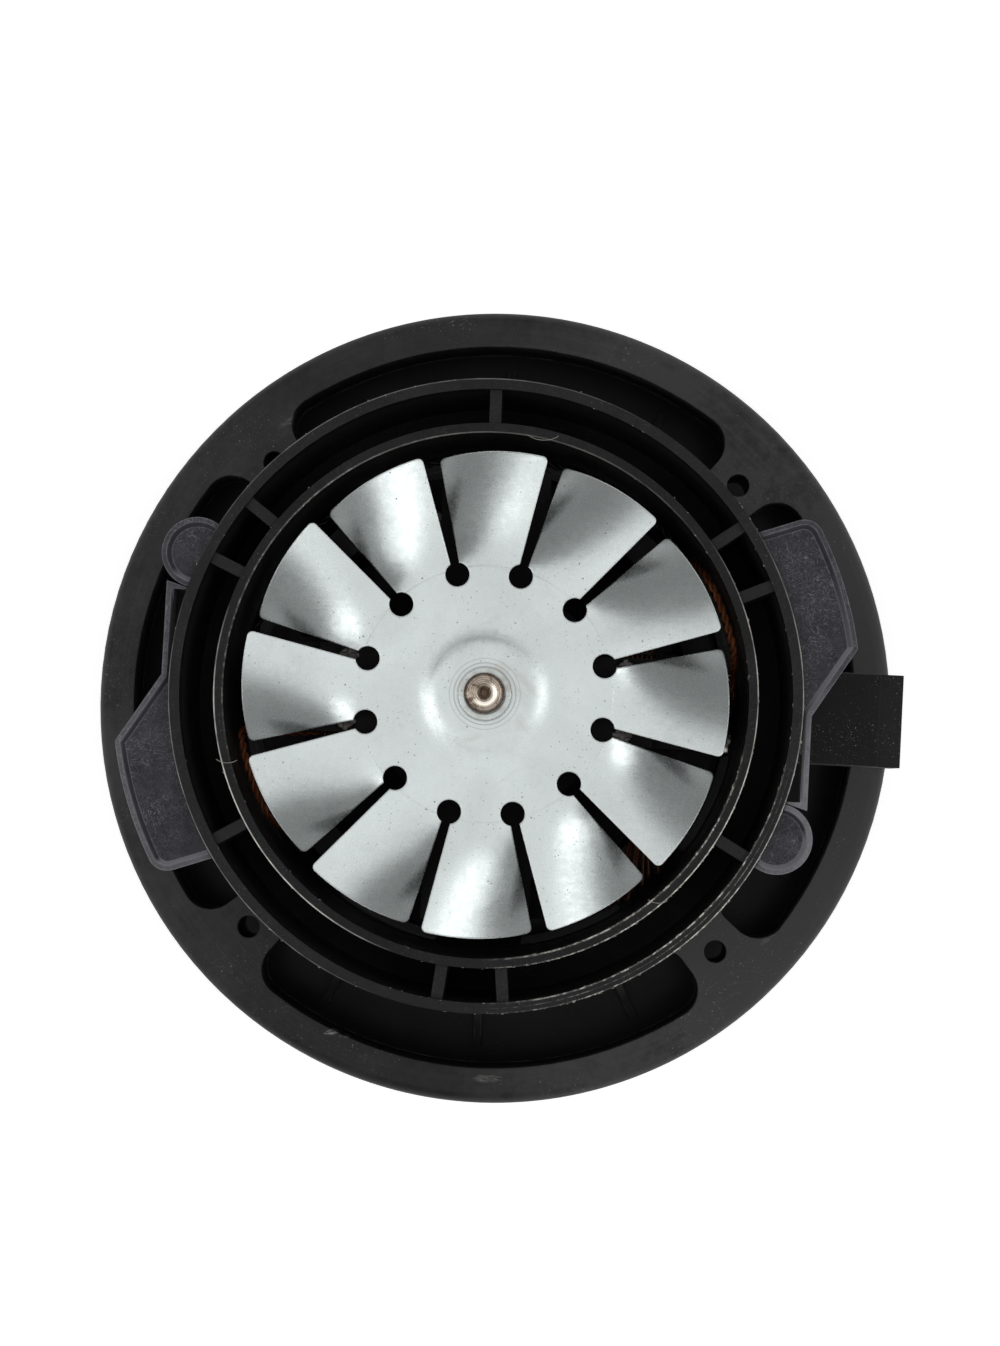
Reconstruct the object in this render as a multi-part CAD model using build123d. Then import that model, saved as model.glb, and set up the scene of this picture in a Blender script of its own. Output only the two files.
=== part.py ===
from build123d import *
import math
import os

# Vacuum motor unit. Millimetres, +Z up, origin on the shaft axis at the inlet face.
# The connector points along +X. The air inlet is underneath, the cooling fan is on top.

# General fits
overrun = 1.0
seat_gap = 0.03
running_gap = 0.4
full_turn = 360.0
half_turn = 180.0
hexagon_sides = 6

# Heights that build on each other, from the inlet face up
shell_height = 25.0
flange_above_shell = 15.0
stack_above_shell = 25.0
stack_length = 36.0
commutator_above_stack = 13.0
commutator_length = 13.0
upper_bearing_above_commutator = 1.7
lower_bearing_above_shell = 3.0
collar_above_upper_bearing = 6.3
channel_above_stack = 2.0
flange_top = shell_height + flange_above_shell
stack_bottom = shell_height + stack_above_shell
stack_top = stack_bottom + stack_length
stack_middle = stack_bottom + stack_length / 2
commutator_bottom = stack_top + commutator_above_stack
lower_bearing_bottom = shell_height + lower_bearing_above_shell
upper_bearing_bottom = commutator_bottom + commutator_length + upper_bearing_above_commutator
collar_top = upper_bearing_bottom + collar_above_upper_bearing
channel_floor = stack_top + channel_above_stack

# Shaft and bearings
shaft_radius = 4.0
shaft_above_collar = 10.5
bearing_outer_radius = 11.0
bearing_height = 7.0
race_wall = 2.1
ball_radius = 1.98
ball_count = 7
ball_gap = 0.05
shaft_top = collar_top + shaft_above_collar
centre_drill_radius = 1.3
centre_drill_depth = 1.6
shaft_chamfer = 0.4

# Radii that build on each other, from the stack outwards
stack_radius = 49.0
stack_wall_gap = 4.05
tube_wall = 1.95
foot_width = 11.0
foot_neck_step = 0.1
arm_neck_step = 0.6
pocket_width = 16.8
flange_band_width = 8.2
shell_neck_gap = 0.1
impeller_rim_gap = 3.5
channel_width = 6.9
collar_wall = 2.2
fan_tip_gap = 4.15
tube_bore_radius = stack_radius + stack_wall_gap
tube_radius = tube_bore_radius + tube_wall
housing_foot_radius = tube_radius + foot_width
neck_radius = housing_foot_radius - foot_neck_step
arm_inner_radius = neck_radius + arm_neck_step
flange_radius = arm_inner_radius + pocket_width + flange_band_width
shell_bore_radius = neck_radius + shell_neck_gap
impeller_radius = shell_bore_radius - impeller_rim_gap
collar_radius = tube_radius + channel_width + collar_wall
fan_radius = tube_bore_radius - fan_tip_gap

# Fan shell
shell_wall = 0.9
eye_radius = 20.0
eye_lip_height = 4.0
shell_edge_radius = 2.0
outlet_count = 18
outlet_width = 15.0
outlet_height = 8.0
outlet_sill = 9.0

# Impeller
impeller_sheet = 1.0
impeller_eye_gap = 1.0
front_height_at_eye = 3.4
front_height_at_rim = 7.4
vane_count = 9
vane_sheet = 0.9
vane_inner_radius = 25.0
vane_margin = 1.5
vane_curve_radius = 46.0
vane_lean_angle = 42.0
spacer_wall = 2.6
washer_radius = 13.0
washer_thickness = 1.6
nut_radius = 7.4
nut_height = 6.0

# Fan end bracket
bracket_plate = 4.0
impeller_back_gap = 2.6
impeller_back_height = shell_height - bracket_plate - impeller_back_gap - impeller_sheet
shaft_below_impeller = 11.4
shaft_bottom = impeller_back_height - shaft_below_impeller
bracket_boss_wall = 3.2
bracket_hole_radius = 8.5
bracket_rib_count = 8
bracket_rib_width = 2.6
bracket_rib_height = 5.0
bracket_rib_reach = stack_radius
post_radius = 5.0
seal_height = 6.0
seal_wall = 1.5

# Base flange
flange_wall = 2.5
flange_edge_radius = 3.0
skirt_depth = 18.0
skirt_bottom = flange_top - skirt_depth
neck_lip = 3.05
neck_bore_radius = tube_bore_radius - neck_lip
neck_wall = 2.9
neck_drop = 2.0
neck_top = flange_top - neck_drop
neck_plate = 3.0
pocket_depth_at_rim = 13.0
pocket_depth_at_neck = 4.0
pocket_half_angle = 39.6
pocket_corner_share = 0.387
pocket_corner_radius = pocket_corner_share * pocket_width
pocket_rib_width = 1.5
pocket_rib_rise = 3.0
pocket_rib_tail = 1.2
pocket_rib_length = 13.0
pocket_rib_reach = arm_inner_radius + pocket_rib_length
pocket_rib_spread = 27.0
mount_hole_inset = 9.5
mount_circle_radius = arm_inner_radius + mount_hole_inset
mount_hole_radius = 2.6
mount_boss_radius = 7.0
mount_count = 4
mount_first_angle = 45.0

# Screws that hold the bracket and the housing to the flange
bracket_screw_inset = 9.9
bracket_screw_circle = neck_radius - bracket_screw_inset
bracket_screw_first_angle = 45.0
housing_screw_circle = tube_radius + foot_width / 2
screw_radius = 1.9
screw_hole_gap = 0.25
pilot_gap = 0.02
screw_head_radius = 3.6
screw_head_height = 2.4
screw_slot_width = 0.9
screw_slot_depth = 1.1
bracket_screw_length = 12.0
housing_screw_length = 9.0
screw_boss_radius = 4.6
screw_count = 4

# Lower housing, inner ring and outer collar
housing_foot = 3.5
floor_plate = 2.5
vent_count = 8
vent_angle = 24.0
vent_first_angle = 22.5
vent_above_flange = 6.0
vent_below_channel = 9.0
vent_sill = flange_top + vent_above_flange
vent_top = channel_floor - vent_below_channel
vent_corner_radius = 4.0
vent_cut_walls = 3
gusset_width = 2.4
gusset_height = 13.0
gusset_reach = 7.0
rib_width = 2.4
rib_top_drop = 1.4
single_rib_first_angle = 91.0
paired_rib_first_angle = 30.0
paired_rib_half_spread = 6.2
rib_sets = 3

# Lugs on the outer collar
lug_top_drop = 3.0
lug_thickness = 4.2
lug_stand_off = 11.8
lug_reach = collar_radius + lug_stand_off
lug_rim = 1.0
lug_recess_lean_angle = 30.0
lug_recess = 1.5
lug_root_inset = 4.1
lug_root_radius = collar_radius - lug_root_inset
lug_corner_offset = 0.9
lug_corner_x = collar_radius + lug_corner_offset
lug_corner_y = 40.0
lug_side_inset = 10.0
lug_side_x = collar_radius - lug_side_inset
lug_side_y = 36.0
lug_low_angle = 10.0
lug_neck_offset = 1.9
lug_neck_x = collar_radius + lug_neck_offset
lug_neck_y = -0.9
lug_neck_end_y = -20.0
lug_bulb_inset = 3.9
lug_bulb_x = collar_radius - lug_bulb_inset
lug_bulb_y = -26.0
lug_bulb_radius = 7.2
lug_slot_offset = 0.4
lug_slot_x = collar_radius + lug_slot_offset
lug_slot_near_y = -8.6
lug_slot_far_y = -18.4
lug_round = 4.0
lug_small_round = 1.5

# Connector
connector_length = 34.0
connector_reach = tube_radius + connector_length
connector_half_width = 10.0
connector_below_channel = 8.0
connector_top = channel_floor - connector_below_channel
connector_height = 18.0
connector_wall = 2.2
socket_depth_share = 0.44
socket_depth = socket_depth_share * connector_length
connector_step = 0.9
connector_step_length = 4.9
terminal_width = 6.3
terminal_thickness = 0.8
terminal_back_gap = 8.0
terminal_spacing = 8.0
terminal_tip_gap = 4.0
terminal_length = connector_length - terminal_tip_gap - terminal_back_gap
connector_screw_spacing = 12.0
connector_screw_length = 8.0
connector_screw_radius = 1.4
connector_screw_head_radius = 2.6
connector_screw_head_height = 1.4
lead_hole_gap = 0.3

# Stator
stack_flat_cut = 9.0
stack_flat = stack_radius - stack_flat_cut
yoke_thickness = 6.4
window_radius = stack_radius - yoke_thickness
yoke_flat_thickness = 6.5
window_flat = stack_flat - yoke_flat_thickness
neck_half_width = 11.5
shoe_thickness = 4.8
shoe_half_angle = 62.0
bore_gap = 0.4
stator_bolt_x = 14.0
stator_bolt_inset = 3.25
stator_bolt_y = stack_flat - stator_bolt_inset
stator_bolt_radius = 2.0
stator_bolt_hole_gap = 0.2
stator_bolt_thread = 9.0

# Field coils and their liners
liner_side = 0.8
liner_end = 2.0
liner_gap = 0.15
liner_flange = 0.7
liner_flange_rise = 8.4
coil_wire_radius = 0.8
coil_pitch = 2.06
coil_layers = 4
coil_turns = 4
coil_corner_radius = 3.5
coil_first_layer_x = 27.2
coil_climb_height = 24.0
coil_tail_height = 8.0
least_coil_gap = 0.4
coil_sample_step = 0.8
coil_neighbour_pitches = 6

# Armature
armature_radius = 20.0
slot_count = 12
slot_radius = 2.5
slot_circle = 15.4
slot_mouth = 1.4
slot_fill_gap = 0.15
winding_radius = 17.6
winding_root_radius = 6.6
winding_height = 9.0
winding_round = 3.0
core_insulator = 0.8
commutator_radius = 13.0
commutator_bar_depth = 4.0
commutator_bars = 24
commutator_gap_width = 0.5
hub_overhang = 0.6

# Bearing bridge
bridge_arm_half_width = 11.0
bridge_arm_drop = 3.7
bridge_arm_bottom = upper_bearing_bottom - bridge_arm_drop
bridge_arm_thickness = 4.5
bridge_reach_inset = 3.0
bridge_reach = stack_radius - bridge_reach_inset
bridge_leg_thickness = 5.6
bridge_foot_half_width = 19.0
bridge_foot_height = 4.0
bridge_foot_lap = 4.15
bridge_foot_inner_y = stator_bolt_y - bridge_foot_lap
bridge_boss_radius = 16.5
bridge_skirt_wall = 2.2
bridge_lip = 1.0
bridge_lip_hole_radius = 8.5
wave_washer = 0.6
wing_reach = 34.0
wing_half_width = 9.0
wing_thickness = 3.0

# Brush gear
brush_width = 6.3
brush_height = 10.0
brush_length = 22.0
brush_gap = 0.1
brush_middle = commutator_bottom + commutator_length / 2
brush_face_gap = 0.06
brush_tube_wall = 0.8
brush_tube_start = 14.6
brush_tube_inset = 2.0
brush_tube_end = stack_radius - brush_tube_inset
holder_start = 22.0
holder_end_inset = 5.0
holder_end = stack_radius - holder_end_inset
holder_half_width = 9.0
holder_bottom_drop = 7.2
holder_screw_x = 28.0
holder_screw_y = 6.7
holder_screw_radius = 1.1
holder_screw_head_radius = 2.0
holder_screw_head_height = 1.3
holder_screw_length = 9.0
spring_radius = 2.5
spring_wire_radius = 0.3
spring_turns = 5
spring_end_gap = 0.1

# Leads from the connector to the coils
lead_radius = 0.9
lead_wall_gap = 1.75
lead_circle = tube_bore_radius - lead_wall_gap
lead_above_stack = 7.5
lead_height = stack_top + lead_above_stack
lead_bend_radius = 5.0
lead_spacing = 6.0
lead_entry_height = connector_top - connector_height / 2
lead_entry_radius = 2.6
lead_start_depth = 5.0
lead_start_x = tube_radius + lead_start_depth
lead_end_gap = 0.4
lead_long_end_angle = 168.0

# Cooling fan
fan_sheet = 0.8
fan_above_collar = 4.0
fan_blades = 12
relief_circle_share = 0.503
relief_circle = relief_circle_share * fan_radius
relief_radius = 2.43
slit_at_root = 1.2
slit_at_tip = 3.2
blade_corner_radius = 1.1
blade_rise = 2.3
blade_drop = 8.2
blade_bow = 2.1
blade_root_shrink = 0.05
blade_lap = 4.6
blade_bend_offset = 0.6
blade_start = relief_circle - blade_lap
blade_bend_start = relief_circle + blade_bend_offset
blade_length = fan_radius - blade_bend_start
blade_place_shares = (0.0, 0.101, 0.224, 0.392, 0.688)
blade_twist_radii = [blade_bend_start + share * blade_length for share in blade_place_shares]
blade_twist_shares = (0.0, 0.07, 0.22, 0.43, 0.73)
fan_dome_radius = 14.8
fan_dome_top_radius = 8.2
fan_dome_rise = 0.8
fan_dome_round_share = 0.121
fan_rest_angle = 31.0
fan_hub_radius = 5.3
fan_hub_flange_radius = 7.6
fan_hub_flange = 1.5
fan_hub_above = 1.4
fan_top = collar_top + fan_above_collar
fan_under = fan_top - fan_sheet

BASE = (Align.CENTER, Align.CENTER, Align.MIN)
CORNER = (Align.MIN, Align.MIN, Align.MIN)
MIDDLE = (Align.CENTER, Align.CENTER, Align.CENTER)


def upright(radius, bottom, top, x=0, y=0):
    """A solid cylinder standing along Z."""
    return Pos(x, y, bottom) * Cylinder(radius, top - bottom, align=BASE)


def tube(outer, inner, bottom, top, x=0, y=0):
    """A hollow cylinder standing along Z."""
    return upright(outer, bottom, top, x, y) - upright(inner, bottom - overrun, top + overrun, x, y)


def slab(x_range, y_range, z_range):
    """A box between two values of each axis."""
    size = [high - low for low, high in (x_range, y_range, z_range)]
    return Pos(x_range[0], y_range[0], z_range[0]) * Box(*size, align=CORNER)


def turned(points, round_top=0):
    """A solid of revolution from (radius, height) points; the first corner can be rounded."""
    outline = Polyline(*[(radius, 0, height) for radius, height in points], close=True)
    face = make_face(outline)
    if round_top:
        first = (points[0][0], 0, points[0][1])
        face = fillet([v for v in face.vertices() if math.dist(tuple(v), first) < seat_gap], round_top)
    return revolve(face, Axis.Z)


def around(shape, count, first_angle=0):
    """Equal copies of a shape around the shaft axis."""
    return [Rot(0, 0, first_angle + full_turn * k / count) * shape for k in range(count)]


def polar(radius, angle, height=0):
    """A point at a radius and an angle in degrees."""
    turn = math.radians(angle)
    return (radius * math.cos(turn), radius * math.sin(turn), height)


def opposite(shape):
    """The same shape on the other side of the shaft."""
    return Rot(0, 0, half_turn) * shape


def write(name, *solids):
    """Writes one named piece, or a group of separate like pieces."""
    shape = solids[0] if len(solids) == 1 else Compound(children=list(solids))
    export_step(shape, f"parts/{name}.step")


def screw(shank_radius, length, head_radius, head_height):
    """A pan head screw, head up, with the underside of the head at height zero."""
    shank = upright(shank_radius, -length, overrun / 2)
    head = upright(head_radius, 0, head_height)
    head = fillet(head.edges().sort_by(Axis.Z)[-1], head_height / 2)
    slot = slab((-head_radius, head_radius), (-screw_slot_width / 2, screw_slot_width / 2),
                (head_height - screw_slot_depth, head_height + overrun))
    return shank + head - slot - Rot(0, 0, full_turn / 4) * slot


def hexagon(across_corners_radius, bottom, top, bore):
    """A hexagon nut with a bore."""
    nut = extrude(Pos(0, 0, bottom) * RegularPolygon(across_corners_radius, hexagon_sides), top - bottom)
    return nut - upright(bore, bottom - overrun, top + overrun)


# Fan chamber

def fan_shell():
    """A pressed steel cup with a rolled inlet eye and outlet windows round its wall."""
    outer = shell_bore_radius + shell_wall
    cup = upright(outer, 0, shell_height)
    cup = fillet(cup.edges().sort_by(Axis.Z)[0], shell_edge_radius)
    hollow = upright(shell_bore_radius, shell_wall, shell_height + overrun)
    hollow = fillet(hollow.edges().sort_by(Axis.Z)[0], shell_edge_radius - shell_wall)
    lip = upright(eye_radius + shell_wall, 0, eye_lip_height)
    cup = cup - hollow + lip - upright(eye_radius, -overrun, eye_lip_height + overrun)
    window = slab((shell_bore_radius - overrun, outer + overrun),
                  (-outlet_width / 2, outlet_width / 2),
                  (outlet_sill, outlet_sill + outlet_height))
    window = fillet(window.edges().filter_by(Axis.X), outlet_height / 4)
    return cup - around(window, outlet_count)


def impeller_front():
    """The cone shaped front disc of the impeller, open at the eye."""
    eye = eye_radius + shell_wall + impeller_eye_gap
    return turned([(eye, front_height_at_eye), (impeller_radius, front_height_at_rim),
                   (impeller_radius, front_height_at_rim + impeller_sheet),
                   (eye, front_height_at_eye + impeller_sheet)])


def impeller_back():
    """The flat back disc, clamped on the shaft."""
    top = impeller_back_height + impeller_sheet
    return tube(impeller_radius, shaft_radius + seat_gap, impeller_back_height, top)


def impeller_vanes():
    """Backward curved vanes standing between the two discs."""
    eye = eye_radius + shell_wall + impeller_eye_gap
    rise = (front_height_at_rim - front_height_at_eye) / (impeller_radius - eye)
    outer = impeller_radius - vane_margin
    space = turned([
        (vane_inner_radius, front_height_at_eye + impeller_sheet + rise * (vane_inner_radius - eye)),
        (outer, front_height_at_eye + impeller_sheet + rise * (outer - eye)),
        (outer, impeller_back_height), (vane_inner_radius, impeller_back_height)])
    centre_x, centre_y, _ = polar(vane_curve_radius, 90 + vane_lean_angle)
    centre = (vane_inner_radius + centre_x, centre_y)
    arc = tube(vane_curve_radius + vane_sheet, vane_curve_radius, 0, impeller_back_height,
               centre[0], centre[1])
    arc = arc & slab((0, impeller_radius), (-impeller_radius, impeller_radius / 2),
                     (0, impeller_back_height))
    vane = arc & space
    vane = max(vane.solids(), key=lambda solid: solid.volume)
    return around(vane, vane_count)


def impeller_spacer():
    """The sleeve between the lower bearing and the impeller."""
    return tube(shaft_radius + spacer_wall, shaft_radius + seat_gap,
                impeller_back_height + impeller_sheet, lower_bearing_bottom)


def impeller_washer():
    """The wide washer under the back disc."""
    return tube(washer_radius, shaft_radius + seat_gap, impeller_back_height - washer_thickness,
                impeller_back_height)


def impeller_nut():
    """The nut that clamps the impeller on the shaft."""
    top = impeller_back_height - washer_thickness
    return hexagon(nut_radius, top - nut_height, top, shaft_radius + seat_gap)


# Fan end bracket

def post_places():
    """Where the four stator bolts stand."""
    return [(x * stator_bolt_x, y * stator_bolt_y) for x in (-1, 1) for y in (-1, 1)]


def fan_end_bracket():
    """The cast cover of the fan chamber, with the bearing seat and the stator posts."""
    bottom = shell_height - bracket_plate
    boss = bearing_outer_radius + bracket_boss_wall
    boss_top = lower_bearing_bottom + bearing_height
    body = upright(shell_bore_radius - seat_gap, bottom, shell_height) + upright(boss, bottom, boss_top)
    rib = slab((boss - overrun, bracket_rib_reach), (-bracket_rib_width / 2, bracket_rib_width / 2),
               (shell_height - overrun, shell_height + bracket_rib_height))
    body = body + around(rib, bracket_rib_count, full_turn / bracket_rib_count / 2)
    for x, y in post_places():
        body = body + upright(post_radius, bottom, stack_bottom, x, y)
        body = body - upright(stator_bolt_radius + pilot_gap, stack_bottom - stator_bolt_thread - overrun,
                              stack_bottom + overrun, x, y)
    body = body - upright(bearing_outer_radius + seat_gap, lower_bearing_bottom, boss_top + overrun)
    body = body - upright(bracket_hole_radius, bottom - overrun, boss_top)
    hole = upright(screw_radius + screw_hole_gap, bottom - overrun, shell_height + overrun,
                   bracket_screw_circle)
    return body - around(hole, screw_count, bracket_screw_first_angle)


def bracket_screws():
    """The screws that hold the bracket up against the flange."""
    one = Pos(bracket_screw_circle, 0, shell_height - bracket_plate) * Rot(half_turn, 0, 0)
    one = one * screw(screw_radius, bracket_screw_length, screw_head_radius, screw_head_height)
    return around(one, screw_count, bracket_screw_first_angle)


def shaft_seal():
    """The seal ring in the bracket, round the spacer."""
    bottom = shell_height - bracket_plate
    outer = bracket_hole_radius - seat_gap
    return tube(outer, outer - seal_wall, bottom, bottom + seal_height)


# Base flange

def pocket():
    """The plan shape of one pocket, centred on +X."""
    outer = flange_radius - flange_band_width
    start = polar(outer, -pocket_half_angle)
    end = polar(outer, pocket_half_angle)
    inner_end = polar(arm_inner_radius, pocket_half_angle)
    inner_start = polar(arm_inner_radius, -pocket_half_angle)
    outline = [ThreePointArc(start, (outer, 0, 0), end), Line(end, inner_end),
               ThreePointArc(inner_end, (arm_inner_radius, 0, 0), inner_start),
               Line(inner_start, start)]
    face = make_face(outline)
    return fillet(face.vertices(), pocket_corner_radius)


def base_flange():
    """The large moulded ring with four pockets, four screw arms and a skirt."""
    wall_outer = flange_radius - flange_band_width + flange_wall
    wall_inner = flange_radius - flange_band_width
    floor_rim = flange_top - pocket_depth_at_rim
    floor_neck = flange_top - pocket_depth_at_neck
    skirt_inner = flange_radius - flange_wall
    body = turned([
        (flange_radius, flange_top), (arm_inner_radius, flange_top), (arm_inner_radius, neck_top),
        (neck_bore_radius, neck_top),
        (neck_bore_radius, neck_top - neck_plate), (neck_radius - neck_wall, neck_top - neck_plate),
        (neck_radius - neck_wall, shell_height), (neck_radius, shell_height),
        (neck_radius, floor_neck - flange_wall), (wall_inner, floor_rim - flange_wall),
        (wall_outer, floor_rim - flange_wall), (wall_outer, flange_top - flange_wall),
        (skirt_inner, flange_top - flange_wall), (skirt_inner, skirt_bottom),
        (flange_radius, skirt_bottom)], flange_edge_radius)
    above = turned([(arm_inner_radius - overrun, floor_neck), (arm_inner_radius, floor_neck),
                    (wall_inner, floor_rim), (wall_inner + overrun, floor_rim),
                    (wall_inner + overrun, flange_top + overrun),
                    (arm_inner_radius - overrun, flange_top + overrun)])
    cut = extrude(Pos(0, 0, floor_rim - overrun) * pocket(), flange_top - floor_rim + 2 * overrun)
    body = body - around(cut & above, mount_count)
    slope = (pocket_depth_at_rim - pocket_depth_at_neck) / (wall_inner - arm_inner_radius)
    tail_floor = floor_neck - slope * (pocket_rib_reach - arm_inner_radius)
    rib_face = make_face(Polyline(
        (arm_inner_radius - overrun / 2, 0, floor_neck - overrun),
        (arm_inner_radius - overrun / 2, 0, floor_neck + pocket_rib_rise),
        (pocket_rib_reach, 0, tail_floor + pocket_rib_tail),
        (pocket_rib_reach, 0, tail_floor - overrun), close=True))
    rib = extrude(rib_face, pocket_rib_width / 2, both=True)
    rib = rib - upright(arm_inner_radius, neck_top, flange_top + overrun)
    for shift in (-pocket_rib_spread, 0, pocket_rib_spread):
        body = body + around(rib, mount_count, shift)
    boss = upright(mount_boss_radius, skirt_bottom, flange_top - overrun, mount_circle_radius)
    hole = upright(mount_hole_radius, skirt_bottom - overrun, flange_top + overrun, mount_circle_radius)
    body = body + around(boss, mount_count, mount_first_angle)
    body = body - around(hole, mount_count, mount_first_angle)
    plate_bottom = neck_top - neck_plate
    screw_boss = upright(screw_boss_radius, shell_height, plate_bottom + overrun, bracket_screw_circle)
    body = body + around(screw_boss, screw_count, bracket_screw_first_angle)
    foot_boss = upright(screw_boss_radius, shell_height + overrun, plate_bottom + overrun,
                        housing_screw_circle)
    body = body + around(foot_boss, screw_count)
    pilot = upright(screw_radius + pilot_gap, shell_height - overrun,
                    shell_height - bracket_plate + bracket_screw_length + overrun, bracket_screw_circle)
    body = body - around(pilot, screw_count, bracket_screw_first_angle)
    foot_top = neck_top + housing_foot
    pilot = upright(screw_radius + pilot_gap, foot_top - housing_screw_length - overrun,
                    neck_top + overrun, housing_screw_circle)
    return body - around(pilot, screw_count)


# Housing, inner ring and collar
def motor_housing():
    """The lower tube with its foot, vents and the floor of the collar channel."""
    floor_under = channel_floor - floor_plate
    body = tube(tube_radius, tube_bore_radius, neck_top, channel_floor)
    body = body + tube(housing_foot_radius, tube_bore_radius, neck_top, neck_top + housing_foot)
    body = body + tube(collar_radius, tube_bore_radius, floor_under, channel_floor)
    half = tube_radius * math.sin(math.radians(vent_angle / 2))
    vent = slab((tube_bore_radius - vent_cut_walls * tube_wall, tube_radius + overrun), (-half, half),
                (vent_sill, vent_top))
    vent = fillet(vent.edges().filter_by(Axis.X), vent_corner_radius)
    body = body - around(vent, vent_count, vent_first_angle)
    gusset_face = make_face(Polyline(
        (tube_radius - tube_wall / 2, 0, floor_under + overrun),
        (tube_radius - tube_wall / 2, 0, floor_under - gusset_height),
        (tube_radius, 0, floor_under - gusset_height),
        (tube_radius + gusset_reach, 0, floor_under),
        (tube_radius + gusset_reach, 0, floor_under + overrun), close=True))
    gusset = extrude(gusset_face, gusset_width / 2, both=True)
    for k in range(1, vent_count):
        body = body + Rot(0, 0, k * full_turn / vent_count) * gusset
    hole = upright(screw_radius + screw_hole_gap, neck_top - overrun, neck_top + housing_foot + overrun,
                   housing_screw_circle)
    body = body - around(hole, screw_count)
    for y in (-1, 1):
        side = y * connector_screw_spacing / 2
        hole = Pos(tube_radius, side, connector_middle()) * Rot(0, 90, 0)
        body = body - hole * Cylinder(connector_screw_radius + screw_hole_gap, 4 * tube_wall, align=MIDDLE)
        entry = Pos(tube_radius, y * lead_spacing / 4, lead_entry_height) * Rot(0, 90, 0)
        body = body - entry * Cylinder(lead_radius + lead_hole_gap, 4 * tube_wall, align=MIDDLE)
    return body


def housing_screws():
    """The screws through the housing foot into the flange."""
    one = Pos(housing_screw_circle, 0, neck_top + housing_foot)
    one = one * screw(screw_radius, housing_screw_length, screw_head_radius, screw_head_height)
    return around(one, screw_count)


def inner_ring():
    """The plain ring round the cooling fan."""
    return tube(tube_radius, tube_bore_radius, channel_floor, collar_top)


def lug_outline():
    """The plan outline of one lug, on the +X side."""
    corner_angle = math.degrees(math.atan2(lug_corner_y, lug_corner_x))
    high = polar(lug_reach, corner_angle)
    low = polar(lug_reach, lug_low_angle)
    side = (lug_side_x, lug_side_y, 0)
    root_high = (lug_side_x - lug_corner_x + lug_side_x, 2 * lug_side_y - lug_corner_y, 0)
    root_low = polar(lug_root_radius, math.degrees(math.atan2(lug_neck_end_y, lug_neck_x)))
    neck = (lug_neck_x, lug_neck_y, 0)
    neck_end = (lug_neck_x, lug_neck_end_y, 0)
    plate = make_face([
        Line(root_high, side), Line(side, high),
        ThreePointArc(high, polar(lug_reach, (corner_angle + lug_low_angle) / 2), low),
        Line(low, neck), Line(neck, neck_end), Line(neck_end, root_low), Line(root_low, root_high)])
    corners = plate.vertices().sort_by(Axis.X)
    plate = fillet([v for v in corners if math.dist((v.X, v.Y), high[:2]) < overrun], lug_round)
    plate = fillet([v for v in plate.vertices() if math.dist((v.X, v.Y), low[:2]) < overrun],
                   lug_small_round)
    return plate + Pos(lug_bulb_x, lug_bulb_y) * Circle(lug_bulb_radius)


def lug():
    """A shallow tray with a raised rim, standing off the collar."""
    top = collar_top - lug_top_drop
    outline = lug_outline()
    body = extrude(Pos(0, 0, top - lug_thickness) * outline, lug_thickness)
    for face in offset(outline, -lug_rim).faces():
        body = body - extrude(Pos(0, 0, top) * face, -lug_recess, taper=lug_recess_lean_angle)
        body = body - extrude(Pos(0, 0, top) * face, overrun)
    slot = slab((lug_root_radius - overrun, lug_slot_x), (lug_slot_far_y, lug_slot_near_y),
                (top - lug_thickness - overrun, top + overrun))
    return body - slot - upright(collar_radius - collar_wall / 2, 0, collar_top)


def outer_collar():
    """The outer ring with its cross ribs and two lugs."""
    body = tube(collar_radius, collar_radius - collar_wall, channel_floor, collar_top)
    rib = slab((tube_radius + seat_gap, collar_radius - collar_wall / 2), (-rib_width / 2, rib_width / 2),
               (channel_floor, collar_top - rib_top_drop))
    rib = rib - upright(tube_radius + seat_gap, 0, collar_top)
    body = body + around(rib, rib_sets, single_rib_first_angle)
    for side in (-paired_rib_half_spread, paired_rib_half_spread):
        body = body + around(rib, rib_sets, paired_rib_first_angle + side)
    one = lug()
    return body + one + opposite(one)


# Connector
def connector_middle():
    """The height of the middle of the connector."""
    return connector_top - connector_height / 2


def connector_housing():
    """The moulded block with a socket that opens outwards."""
    bottom = connector_top - connector_height
    body = slab((neck_bore_radius, connector_reach), (-connector_half_width, connector_half_width),
                (bottom, connector_top))
    body = fillet(body.edges().filter_by(Axis.X), connector_wall / 4)
    step = slab((connector_reach - connector_step_length, connector_reach + overrun),
                (-connector_half_width - overrun, connector_half_width + overrun),
                (connector_top - connector_step, connector_top + overrun))
    socket_side = connector_half_width - connector_wall
    socket = slab((connector_reach - socket_depth, connector_reach + overrun),
                  (-socket_side, socket_side),
                  (bottom + connector_wall, connector_top - connector_step - connector_wall))
    socket = fillet(socket.edges().filter_by(Axis.X), connector_wall / 2)
    body = body - step - socket - upright(tube_radius + seat_gap, 0, collar_top)
    for y in (-1, 1):
        pilot = Pos(tube_radius + connector_screw_length / 2, y * connector_screw_spacing / 2,
                    connector_middle()) * Rot(0, 90, 0)
        body = body - pilot * Cylinder(connector_screw_radius + pilot_gap,
                                       connector_screw_length + overrun, align=MIDDLE)
        entry = Pos(tube_radius, y * lead_spacing / 4, lead_entry_height) * Rot(0, 90, 0)
        body = body - entry * Cylinder(lead_radius + lead_hole_gap,
                                       2 * (lead_start_x - tube_radius), align=MIDDLE)
        body = body - terminal(y, seat_gap)
    return body


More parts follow.
